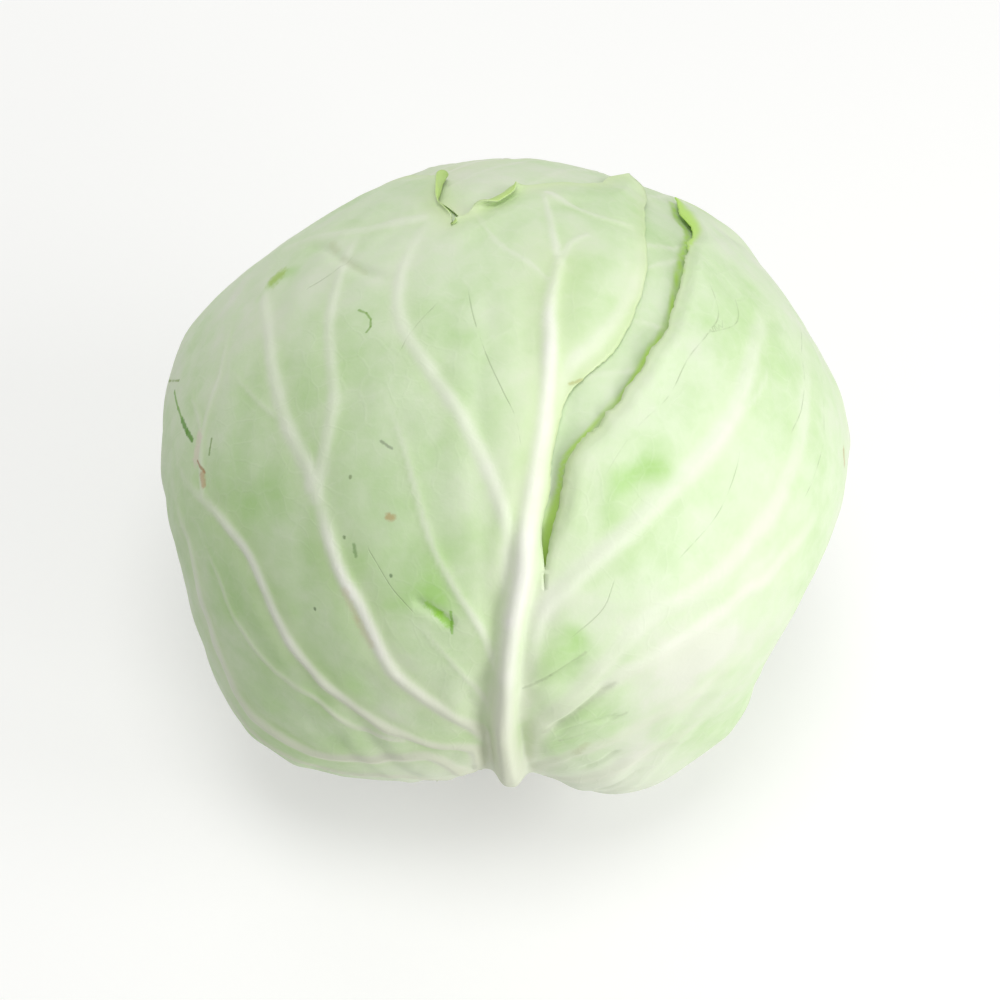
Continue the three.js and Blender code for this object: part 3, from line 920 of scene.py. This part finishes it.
def fill_patch(leaf, patch, under, above):
    """A patch's grid of points with its lip, and the values of its skin."""
    rays = leaf.rays_at(patch.places(leaf.rows))
    if patch.torn is not None:
        rays = relaxed(rays)
    rays = rays.reshape(-1, 3)
    edge = distance_to(rays, leaf.margin_rays, MARGIN_REACH)
    lifted = np.zeros(len(rays))
    if patch.torn is not None:
        torn = leaf.rays_at(spaced(patch.torn, 3 * len(patch.torn)))
        near, away, along, _ = beside(rays, torn, MARGIN_REACH)
        thin = away * patch.taper + THINNING * smoothstep(along, 0.12, 0)
        edge[near] = np.minimum(edge[near], thin)
        rise = read(patch.lifted, spaced(patch.torn, 200)[:, 1])
        lifted[near] = np.interp(along, np.linspace(0, 1, 200), rise) * bell(away, 7, 1.5)
    relief, values = leaf.relief(rays)
    radius = leaf.outer_radius(rays, look_up(under, rays), relief, edge)
    radius = np.minimum(radius + lifted, surface_distance(rays))
    points = (rays * radius[:, None]).reshape(leaf.rows, patch.columns, 3)
    extra = lip(points, *roll_sizes(leaf, patch, rays[-patch.columns:], above))
    values |= {"wall": wall_at(edge) / BLADE, "rim": np.exp(-edge / 3.5)} | leaf.fine_lines(rays)
    for label, value in values.items():
        value = value.reshape(leaf.rows, patch.columns)
        values[label] = np.vstack([value, np.repeat(value[-1:], len(extra), axis=0)]).ravel()
    return np.concatenate([points, extra]), values


def make_leaf(leaf, under, above):
    """A leaf that lies on the radius table under it."""
    filled = [fill_patch(leaf, patch, under, above) for patch in leaf.patches()]
    sizes = [(grid.shape[1], grid.shape[0]) for grid, _ in filled]
    points = np.vstack([grid.reshape(-1, 3) for grid, _ in filled])
    values = {label: np.concatenate([part[label] for _, part in filled]) for label in filled[0][1]}
    front = leaf is leaves[-1]
    # shade: painted fold strip on the front leaf, painted green shade and light on the others.
    values["shade"] = painted_fold_strip(unit(points), sizes) if front else painted_tear_shade(unit(points))
    mesh = sheet_mesh(leaf.name + "_skin", sizes, points, values)
    facing_out(mesh)
    piece = link(mesh)
    walls = np.zeros(len(mesh.vertices), np.float32)
    mesh.attributes["wall"].data.foreach_get("value", walls)
    thicken(piece, walls)
    return piece


def beside_flap(rays, reach):
    """The rays within reach mm of the flap's torn edge: their numbers and distances from it in
    mm, and there how far it stands off in mm and its degrees from the stem."""
    places = spaced(smooth_line(TEAR_FLAP_SIDE), 300)
    near, away, along, _ = beside(rays, leaves[-1].rays_at(places), reach)
    polar = places[np.round(along * (len(places) - 1)).astype(int), 1]
    return near, away, read(FLAP_LIFT, polar), polar


def painted_tear_shade(rays):
    """Painted shade and light beside the flap: a green line for its shadow and the light through
    it, which is broader where the flap stands off and at the tear's lower end."""
    near, away, rise, polar = beside_flap(rays, 30)
    shade = np.zeros(len(rays))
    shade[near] = bell(away, 0.45 + 0.2 * rise + 1.7 * smoothstep(polar, 99, 90))
    return shade


def painted_fold_strip(rays, sizes):
    """A strip in the greener inside tone, painted where the flap's torn edge is folded back near
    its top, over some 13 degrees, with painted green light; the mesh there is not folded. The
    patch on the other side of the tear stays as it is."""
    near, away, _, polar = beside_flap(rays, 12)
    width = 2.6 * smoothstep(polar, 136.5, 143) * smoothstep(polar, 150, 146) + 0.01
    fold = np.zeros(len(rays))
    fold[near] = bell(away, width, 4)
    fold[:sizes[0][0] * sizes[0][1]] = 0
    return fold


# ------------------------------
# Materials
# ------------------------------
def tone(code):
    """A colour as a screen shows it, such as c8d8a8, in the renderer's linear numbers."""
    parts = [int(code[i:i + 2], 16) / 255 for i in (0, 2, 4)]
    linear = [p / 12.92 if p <= 0.04045 else ((p + 0.055) / 1.055) ** 2.4 for p in parts]
    return (*linear, 1)


class Nodes:
    """The node tree of a material, world or group, with short ways to add and join its nodes."""

    def __init__(self, tree):
        self.tree = tree

    def add(self, kind, values=None, **settings):
        node = self.tree.nodes.new(kind)
        for key, value in settings.items():
            setattr(node, key, value)
        for key, value in (values or {}).items():
            if isinstance(value, bpy.types.NodeSocket):
                self.tree.links.new(value, node.inputs[key])
            else:
                node.inputs[key].default_value = value
        return node

    def math(self, operation, a, b=0.0, clamp=False):
        node = self.add("ShaderNodeMath", {0: a, 1: b}, operation=operation, use_clamp=clamp)
        return node.outputs[0]

    def times(self, a, b, clamp=False):
        return self.math("MULTIPLY", a, b, clamp)

    def plus(self, a, b, clamp=False):
        return self.math("ADD", a, b, clamp)

    def minus(self, a, b):
        return self.math("SUBTRACT", a, b)

    def total(self, *parts):
        """The sum of values, each multiplied by its weight."""
        value, weight = parts[0]
        total = self.times(value, weight)
        for value, weight in parts[1:]:
            total = self.plus(total, self.times(value, weight))
        return total

    def mix(self, factor, a, b, share=1.0):
        """The colour a, with b over it by share of the factor."""
        if share != 1:
            factor = self.times(factor, share)
        return self.add("ShaderNodeMix", {0: factor, 6: a, 7: b}, data_type="RGBA").outputs[2]

    def ramp(self, factor, low, high):
        """0 at low to 1 at high, eased."""
        return self.add("ShaderNodeMapRange", {0: factor, 1: low, 2: high},
                        interpolation_type="SMOOTHSTEP").outputs[0]

    def attribute(self, name):
        return self.add("ShaderNodeAttribute", attribute_name=name).outputs["Fac"]

    def noise(self, vector, scale, detail=3.0, roughness=0.5, distortion=0.0):
        values = {"Vector": vector, "Scale": scale, "Detail": detail, "Roughness": roughness,
                  "Distortion": distortion}
        return self.add("ShaderNodeTexNoise", values).outputs["Fac"]

    def place(self):
        return self.add("ShaderNodeTexCoord").outputs["Object"]

    def vector(self, operation, *inputs, output=0):
        node = self.add("ShaderNodeVectorMath", dict(enumerate(inputs)), operation=operation)
        return node.outputs[output]

    def bump(self, height, depth):
        """The normal of a surface with a fine relief, depth metres deep."""
        values = {"Strength": 0.5, "Distance": depth, "Height": height}
        return self.add("ShaderNodeBump", values).outputs[0]

    def feed(self, inputs, values):
        """Joins each value to the input with its label."""
        for label, value in values.items():
            self.tree.links.new(value, inputs[label])


def emptied(owner):
    """The node tree of a material or world, with nothing in it yet."""
    owner.use_nodes = True
    owner.node_tree.nodes.clear()
    return Nodes(owner.node_tree)


def new_group(name, inputs, outputs):
    group = bpy.data.node_groups.new(name, "ShaderNodeTree")
    for side, sockets in (("INPUT", inputs), ("OUTPUT", outputs)):
        for label, kind in sockets:
            group.interface.new_socket(label, in_out=side, socket_type="NodeSocket" + kind)
    nodes = Nodes(group)
    return group, nodes, nodes.add("NodeGroupInput").outputs, nodes.add("NodeGroupOutput").inputs


def new_material(name):
    material = bpy.data.materials.new(name)
    nodes = emptied(material)
    shader = nodes.add("ShaderNodeBsdfPrincipled")
    nodes.add("ShaderNodeOutputMaterial", {"Surface": shader.outputs[0]})
    return material, nodes, shader


def leaf_skin_group():
    """The skin of a cabbage leaf: its colour, its roughness, the height of its fine relief, and
    the painted light of a glow that stands for light coming through it beside the flap's tear."""
    group, nodes, given, out = new_group(
        "leaf_skin",
        [(label, "Color") for label in ("Pale", "Green", "Grey", "Halo", "Rib", "Rim", "Inside")],
        [("Color", "Color"), ("Roughness", "Float"), ("Height", "Float"), ("Painted_light", "Color")],
    )
    place = nodes.place()
    height = nodes.attribute("height")
    foot = nodes.ramp(height, 0.27, 0.10)
    # Patches of more and of less green.
    large = nodes.noise(place, 17, 3, 0.5, 0.4)
    medium = nodes.noise(place, 42, 4, 0.6, 0.6)
    small = nodes.noise(place, 110, 4, 0.6)
    green = nodes.total((large, 1.8), (medium, 0.9), (small, 0.8))
    green = nodes.plus(nodes.minus(green, 1.7), nodes.attribute("tint"))
    green = nodes.times(green, nodes.minus(1.0, nodes.times(foot, 0.7)))
    colour = nodes.mix(nodes.plus(green, 0.0, clamp=True), given["Pale"], given["Green"])
    colour = nodes.mix(nodes.times(green, -1.6, clamp=True), colour, given["Grey"])
    # Veins, the net of the smallest ones, and hair lines.
    streak = nodes.noise(place, 130, 3)
    broken = nodes.plus(0.55, nodes.times(streak, 0.7))
    bend = nodes.add("ShaderNodeTexNoise", {"Vector": place, "Scale": 60.0, "Detail": 2.0})
    bent = nodes.add("ShaderNodeMix", {0: 0.012, 4: place, 5: bend.outputs["Color"]},
                     data_type="VECTOR").outputs[1]
    cells = nodes.add("ShaderNodeTexVoronoi", {"Vector": bent, "Scale": 150.0},
                      feature="DISTANCE_TO_EDGE").outputs["Distance"]
    net = nodes.times(nodes.ramp(cells, 0.10, 0.0), nodes.ramp(large, 0.35, 0.6))
    colour = nodes.mix(net, colour, given["Rib"], 0.06)
    colour = nodes.mix(nodes.attribute("halo"), colour, given["Halo"], 0.4)
    colour = nodes.mix(foot, colour, given["Rib"], 0.55)
    vein = nodes.times(nodes.attribute("vein"), broken, clamp=True)
    colour = nodes.mix(vein, colour, given["Rib"])
    # Low rib and veins turn greyer: partly their own tone, partly painted shade of the rib's flank.
    low = nodes.times(vein, nodes.ramp(height, 0.44, 0.24))
    colour = nodes.mix(low, colour, tone("cfd6b8"), 0.7)
    fine = nodes.ramp(nodes.math("ABSOLUTE", nodes.attribute("fine")), 0.30, 0.05)
    fine = nodes.times(fine, nodes.attribute("fine_weight"))
    fine = nodes.times(fine, nodes.ramp(streak, 0.35, 0.6))
    colour = nodes.mix(fine, colour, tone("8fa077"), 0.35)
    # Margins, in a yellow-green that is partly their own and partly painted light through the
    # thin edge, and the green inside of a leaf.
    colour = nodes.mix(nodes.attribute("rim"), colour, given["Rim"], 0.35)
    # Painted green shade and light beside the flap's tear, and on its folded strip, from shade.
    shade = nodes.attribute("shade")
    hidden = nodes.math("MAXIMUM", nodes.attribute("inner"), shade)
    low_inside = nodes.ramp(height, 0.35, 0.14)
    inside_tone = nodes.mix(low_inside, given["Inside"], given["Pale"])
    colour = nodes.mix(hidden, colour, inside_tone, 0.92)
    colour = nodes.mix(shade, colour, tone("9cc648"), 0.5)
    # Painted light: a green glow where shade is set, though the leaf is no lamp.
    glow = nodes.mix(shade, (0, 0, 0, 1), tone("9cc648"))
    coarse, grain = nodes.noise(place, 150, 3), nodes.noise(place, 900, 2)
    relief = nodes.total((coarse, 0.6), (grain, 0.12), (net, 0.12), (fine, -0.4))
    rough = nodes.plus(0.42, nodes.times(small, 0.16))
    nodes.feed(out, {"Color": colour, "Roughness": rough, "Height": relief, "Painted_light": glow})
    return group


def stroke_group():
    """How strongly a place belongs to a short straight stroke between two directions on the head:
    1 within its width, falling to 0 over its softness, both in mm, with a rough edge."""
    group, nodes, given, out = new_group(
        "stroke",
        [("From", "Vector"), ("To", "Vector"), ("Width", "Float"), ("Softness", "Float")],
        [("Amount", "Float")],
    )

    def gap(a, b):
        return nodes.vector("SUBTRACT", a, b)

    def dot(a, b):
        return nodes.vector("DOT_PRODUCT", a, b, output=1)

    place = nodes.place()
    ray = nodes.vector("NORMALIZE", gap(place, (0, 0, CENTRE_HEIGHT * MM)))
    offset = gap(ray, given["From"])
    span = gap(given["To"], given["From"])
    share = nodes.math("DIVIDE", dot(offset, span), dot(span, span), clamp=True)
    reach = nodes.add("ShaderNodeVectorMath", {0: span, "Scale": share}, operation="SCALE")
    away = nodes.vector("LENGTH", gap(offset, reach.outputs[0]), output=1)
    away = nodes.times(away, MEAN_RADIUS)
    low = nodes.plus(given["Width"], given["Softness"])
    rough = nodes.times(nodes.minus(nodes.noise(place, 700, 4, 0.7), 0.5), low)
    away = nodes.plus(away, nodes.times(rough, 1.5))
    nodes.feed(out, {"Amount": nodes.ramp(away, low, given["Width"])})
    return group


def leaf_material(name, tones, marks=()):
    """A leaf's material: its skin in its own tones, with blemishes and painted shade over it."""
    material, nodes, shader = new_material(name)
    tones = {label: tone(code) for label, code in tones.items()}
    finish = nodes.add("ShaderNodeGroup", tones, node_tree=skin).outputs
    colour = finish["Color"]
    for places, width, softness, code, strength in marks:
        rays = leaves[-1].rays_at(np.array(places, float))
        for start, end in zip(rays, rays[1:]):
            values = {"From": start, "To": end, "Width": width, "Softness": softness}
            mark = nodes.add("ShaderNodeGroup", values, node_tree=stroke).outputs["Amount"]
            colour = nodes.mix(mark, colour, tone(code), strength)
    nodes.feed(shader.inputs, {"Base Color": colour, "Roughness": finish["Roughness"],
                               "Emission Color": finish["Painted_light"],
                               "Normal": nodes.bump(finish["Height"], 0.0005)})
    # The glow is painted light beside the flap's tear; no lamp is there.
    shader.inputs["Emission Strength"].default_value = 0.22
    shader.inputs["Specular IOR Level"].default_value = 0.35
    return material


# Blemishes and painted shade on the front leaf: places, half width and softness in mm, colour
# and strength.
BLEMISHES_AND_PAINTED_SHADE = [
    # Painted shade: a dark green slit where an insect cut the leaf, with no hole in the mesh.
    ([(-78, 106), (-73, 104), (-69, 102.5)], 0.2, 0.5, "6fa32c", 0.85),
    ([(-69, 102.5), (-66, 101), (-63.5, 100)], 0.5, 0.7, "578f1c", 0.9),
    ([(-86, 106.5), (-77, 108)], 0.15, 0.4, "7d9a3c", 0.8),
    ([(-57, 101), (-57, 98.5)], 0.15, 0.5, "668c2c", 0.7),
    ([(-61, 101), (-61, 97)], 0.8, 1.6, "e3d4ca", 0.6),
    ([(-60.5, 97), (-58, 95.5)], 0.15, 0.5, "9c6a3c", 0.7),
    ([(-58.5, 95), (-58, 93.5)], 0.4, 1.3, "bb8a60", 0.55),
    ([(-31, 126.4), (-29, 126), (-27.6, 124.9), (-27.2, 123.6), (-27.7, 122.5)],
     0.1, 0.45, "7aa348", 0.7),
    ([(-19, 92), (-18.5, 92)], 0.3, 1.3, "b89a66", 0.7),
    ([(-27, 88), (-27, 88.2)], 0.15, 0.5, "5f7a48", 0.7),
    ([(-25.3, 87), (-25, 85)], 0.15, 0.7, "6f9456", 0.6),
    ([(-19, 82), (-19, 82.2)], 0.15, 0.5, "55704a", 0.7),
    ([(-34, 75), (-34, 75.2)], 0.15, 0.5, "55704a", 0.7),
    ([(-26, 98), (-26, 98.2)], 0.15, 0.5, "6a7a50", 0.6),
    ([(-21, 104.3), (-19, 103.2)], 0.1, 0.5, "77836c", 0.6),
    ([(-59, 131), (-59.5, 129.5)], 0.6, 3.0, "9fc04c", 0.75),
    ([(-13, 77), (-11, 75.4), (-9.5, 73.6)], 0.3, 1.6, "8fca3e", 0.75),
    ([(-9, 76), (-9, 72)], 0.1, 0.6, "74b02a", 0.7),
    ([(-27.5, 79), (-26, 74), (-24, 69)], 0.2, 1.8, "cdc3a0", 0.35),
    ([(-50, 139), (-47, 138)], 0.3, 2.0, "a9a765", 0.15),
    ([(-43, 136.5), (-34, 134)], 0.1, 1.6, "aeb67c", 0.15),
    ([(78, 96), (78, 94)], 0.3, 1.6, "b5995f", 0.6),
    ([(12.5, 114.8), (15.5, 115.4)], 0.1, 0.8, "b4b878", 0.7),
    # Painted shade: soft dark lines in the three creases right of the rib's foot.
    ([(4, 59.5), (9, 63), (15, 68)], 0.05, 0.7, "93a27c", 0.3),
    ([(10, 48), (16, 54.5), (22, 61)], 0.05, 1.5, "a4aa92", 0.25),
    ([(14, 45), (27, 53.5)], 0.05, 0.8, "93a07e", 0.2),
    ([(20, 41), (21, 44)], 0.2, 2.2, "a9ad70", 0.25),
]


skin = leaf_skin_group()
stroke = stroke_group()
outer_tones = {"Pale": "d1e2be", "Green": "a6d07e", "Grey": "dfe3d3", "Halo": "cde2a2",
               "Rib": "edeee5", "Rim": "d3e6a2", "Inside": "bad87e"}
inner_tones = {"Pale": "dde8ca", "Green": "bcd898", "Grey": "e2e6d8", "Halo": "dbe8b8",
               "Rib": "f0f2e6", "Rim": "d6e8a8", "Inside": "a8d050"}
heart_tones = inner_tones | {"Pale": "e6edc9", "Green": "d3e3a4"}


def stem_material():
    """Cut pith: a pale core, a ring of fibres, a greener rind, and a little drying."""
    material, nodes, shader = new_material("cut_stem")
    place = nodes.place()
    across = nodes.attribute("across")
    mottle = nodes.noise(place, 260, 4, 0.6)
    colour = nodes.mix(mottle, tone("efe9d3"), tone("ddd3b2"))
    ring = nodes.math("ABSOLUTE", nodes.minus(across, 0.66))
    broken = nodes.ramp(nodes.noise(place, 500, 2), 0.4, 0.6)
    fibres = nodes.times(nodes.ramp(ring, 0.09, 0.02), broken)
    colour = nodes.mix(fibres, colour, tone("b9b183"), 0.6)
    colour = nodes.mix(nodes.ramp(across, 0.84, 1.0), colour, tone("d5dfb4"))
    dry = nodes.ramp(nodes.noise(place, 90, 3, 0.7), 0.58, 0.75)
    colour = nodes.mix(dry, colour, tone("b59a66"), 0.6)
    height = nodes.plus(nodes.times(nodes.noise(place, 600, 3), 0.5), fibres)
    rough = nodes.plus(0.6, nodes.times(mottle, 0.2))
    nodes.feed(shader.inputs, {"Base Color": colour, "Roughness": rough,
                               "Normal": nodes.bump(height, 0.0006)})
    return material


finishes = {
    "outer_leaf_front": leaf_material("outer_leaf_front", outer_tones, BLEMISHES_AND_PAINTED_SHADE),
    "outer_leaf": leaf_material("outer_leaf", outer_tones),
    "inner_leaf": leaf_material("inner_leaf", inner_tones),
    "heart": leaf_material("heart", heart_tones),
    "cut_stem": stem_material(),
}


# ------------------------------
# The pieces
# ------------------------------
def finish_piece(piece, node, slot):
    piece.data.shade_smooth()
    piece.data.materials.clear()
    piece.data.materials.append(finishes.get(node, finishes[slot]))
    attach(piece, "root")
    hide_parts(node)


# The stump is a cone about the stem's axis between two slanted planes, which lie farther out on
# the side away from the front leaf. Distances are along the axis from the head's centre, in mm.
STUMP_FOOT = 66
STUMP_TOP = 80
STUMP_SLANT = 0.35
STUMP_ANGLE = 11.2
STUMP_DOME = 0.8     # mm that the middle of the cut face stands out
STUMP_SEGMENTS = 120


def to_slant(rays, height):
    """How far out directions meet a plane slanted like the stump's cut face."""
    return height / np.maximum(STUMP_SLANT * (rays @ TO_FRONT) - rays @ TO_CROWN, 0.3)


def make_heart():
    """The ball of inner leaves under the wrappers."""
    bm = bmesh.new()
    bmesh.ops.create_icosphere(bm, subdivisions=5, radius=1)
    rays = unit(np.array([vert.co for vert in bm.verts]))
    radius = look_up(heart_table, rays)
    seat = to_slant(rays, STUMP_FOOT - GAP)
    radius = radius + (np.minimum(radius, seat) - radius) * smoothstep(polar_of(rays), 18, 14)
    move(bm, rays * radius[:, None])
    mesh = mesh_from(bm, "heart_ball")
    halo = 0.3 + 0.3 * waves(rays * MEAN_RADIUS, 40, 21)
    set_values(mesh, {"height": np.full(len(rays), 0.5), "halo": halo}, np.arange(len(rays)))
    return link(mesh)


def make_stump():
    """The stem's stump, spun round its axis, with a cut face that is a little rough."""
    slope = math.tan(math.radians(STUMP_ANGLE))
    side = [(slope * height, height) for height in np.linspace(STUMP_FOOT, STUMP_TOP - 3, 8)]
    bevel = [(slope * STUMP_TOP - 0.5, STUMP_TOP - 1), (slope * STUMP_TOP - 1.2, STUMP_TOP - 0.2)]
    shares = np.linspace(1, 0, 20)[1:]
    face = [(bevel[-1][0] * share, STUMP_TOP + STUMP_DOME * (1 - share**2)) for share in shares]
    profile = [(0, STUMP_FOOT)] + side + bevel + face
    bm = bmesh.new()
    verts = [bm.verts.new((x, 0, z)) for x, z in profile]
    edges = [bm.edges.new(pair) for pair in zip(verts, verts[1:])]
    bmesh.ops.spin(bm, geom=verts + edges, cent=(0, 0, 0), axis=(0, 0, 1), angle=2 * math.pi,
                   steps=STUMP_SEGMENTS, use_merge=True)
    bmesh.ops.remove_doubles(bm, verts=bm.verts, dist=1e-5)
    bmesh.ops.recalc_face_normals(bm, faces=bm.faces)
    places = np.array([vert.co for vert in bm.verts])
    across = np.hypot(places[:, 0], places[:, 1]) / (slope * STUMP_TOP)
    rough = 0.35 * waves(places, 7, 31) + 0.15 * waves(places, 2.5, 32)
    places[:, 2] += rough * smoothstep(places[:, 2], STUMP_TOP - 2, STUMP_TOP)
    turned_side = np.cross(-TO_CROWN, TO_SIDE)
    upright = places[:, :1] * TO_SIDE + places[:, 1:2] * turned_side - places[:, 2:] * TO_CROWN
    rays = unit(upright)
    move(bm, rays * to_slant(rays, places[:, 2])[:, None])
    mesh = mesh_from(bm, "cut_stem_stump")
    set_values(mesh, {"across": across}, np.arange(len(across)))
    return link(mesh)


finish_piece(make_heart(), "heart", "heart")
finish_piece(make_stump(), "cut_stem", "cut_stem")
for n, leaf in enumerate(leaves):
    finish_piece(make_leaf(leaf, layers[n], leaves[n + 1:]), leaf.name, leaf.slot)


# ------------------------------
# Camera, lights and floor
# ------------------------------
# The camera looks down at the head's centre from the front: its rise in degrees, and in mm its
# distance, its shift to the right and up, its lens and its sensor.
VIEW_RISE = 55
VIEW_DISTANCE = 719
VIEW_SHIFT = (-0.9, -7.8)
LENS, SENSOR = 82.8, 36
# In metres:
FLOOR_RADIUS = 4
LIGHT_SIZE, LIGHT_DISTANCE = 0.5, 1.1


def make_camera():
    rise = math.radians(VIEW_RISE)
    back = Vector((0, -math.cos(rise), math.sin(rise)))
    up = Vector((0, math.sin(rise), math.cos(rise)))
    right = Vector((1, 0, 0))
    data = bpy.data.cameras.new("camera")
    data.lens = LENS
    data.sensor_width = SENSOR
    data.clip_start = 0.01
    data.clip_end = 50
    camera = link(data)
    centre = Vector((0, 0, CENTRE_HEIGHT))
    at = centre + back * VIEW_DISTANCE + right * VIEW_SHIFT[0] + up * VIEW_SHIFT[1]
    camera.location = at * MM
    camera.rotation_euler = (math.radians(90 - VIEW_RISE), 0, 0)
    bpy.context.scene.camera = camera


def area_light(name, azimuth, rise, power, colour=(1, 1, 1)):
    """A round soft light that looks at the head, azimuth degrees to the right of the front."""
    azimuth, rise = math.radians(azimuth), math.radians(rise)
    aim = Vector((0, 0, CENTRE_HEIGHT * MM))
    level = math.cos(rise)
    heading = Vector((math.sin(azimuth) * level, -math.cos(azimuth) * level, math.sin(rise)))
    data = bpy.data.lights.new(name, "AREA")
    data.shape = "DISK"
    data.size = LIGHT_SIZE
    data.energy = power
    data.color = colour
    lamp = link(data)
    lamp.location = aim + heading * LIGHT_DISTANCE
    lamp.rotation_euler = (-heading).to_track_quat("-Z", "Y").to_euler()


def seen_rays(nodes):
    """1 for what the camera sees, straight or by reflection, and 0 for what lights the head."""
    path = nodes.add("ShaderNodeLightPath").outputs
    return nodes.math("MAXIMUM", path["Is Camera Ray"], path["Is Glossy Ray"])


def make_floor():
    bm = bmesh.new()
    bmesh.ops.create_circle(bm, cap_ends=True, segments=96, radius=FLOOR_RADIUS)
    floor = link(mesh_from(bm, "floor"))
    material = bpy.data.materials.new("floor")
    nodes = emptied(material)
    lit = nodes.add("ShaderNodeBsdfDiffuse", {"Color": (0.66, 0.66, 0.65, 1)})
    # The floor stays evenly pale where the lamps no longer reach.
    away = nodes.vector("LENGTH", nodes.place(), output=1)
    strength = nodes.plus(0.38, nodes.times(nodes.ramp(away, 0.25, 1.5), 0.27))
    values = {"Color": (1, 1, 1, 1), "Strength": nodes.times(seen_rays(nodes), strength)}
    glow = nodes.add("ShaderNodeEmission", values)
    both = nodes.add("ShaderNodeAddShader", {0: lit.outputs[0], 1: glow.outputs[0]})
    nodes.add("ShaderNodeOutputMaterial", {"Surface": both.outputs[0]})
    floor.data.materials.append(material)


def make_world():
    world = bpy.data.worlds.new("studio")
    nodes = emptied(world)
    seen = seen_rays(nodes)
    lamp = nodes.add("ShaderNodeBackground", {"Color": (1, 1, 0.98, 1), "Strength": 0.45})
    white = nodes.add("ShaderNodeBackground", {"Color": (1, 1, 1, 1), "Strength": 1.0})
    both = nodes.add("ShaderNodeMixShader", {0: seen, 1: lamp.outputs[0], 2: white.outputs[0]})
    nodes.add("ShaderNodeOutputWorld", {"Surface": both.outputs[0]})
    bpy.context.scene.world = world


make_camera()
make_floor()
make_world()
area_light("key", 50, 6, 5.2, (1, 0.99, 0.98))
area_light("side", 76, 34, 2.7)
area_light("top", 5, 84, 3.8)
area_light("back", 205, 40, 1.1)
bpy.context.scene.view_settings.view_transform = "Standard"
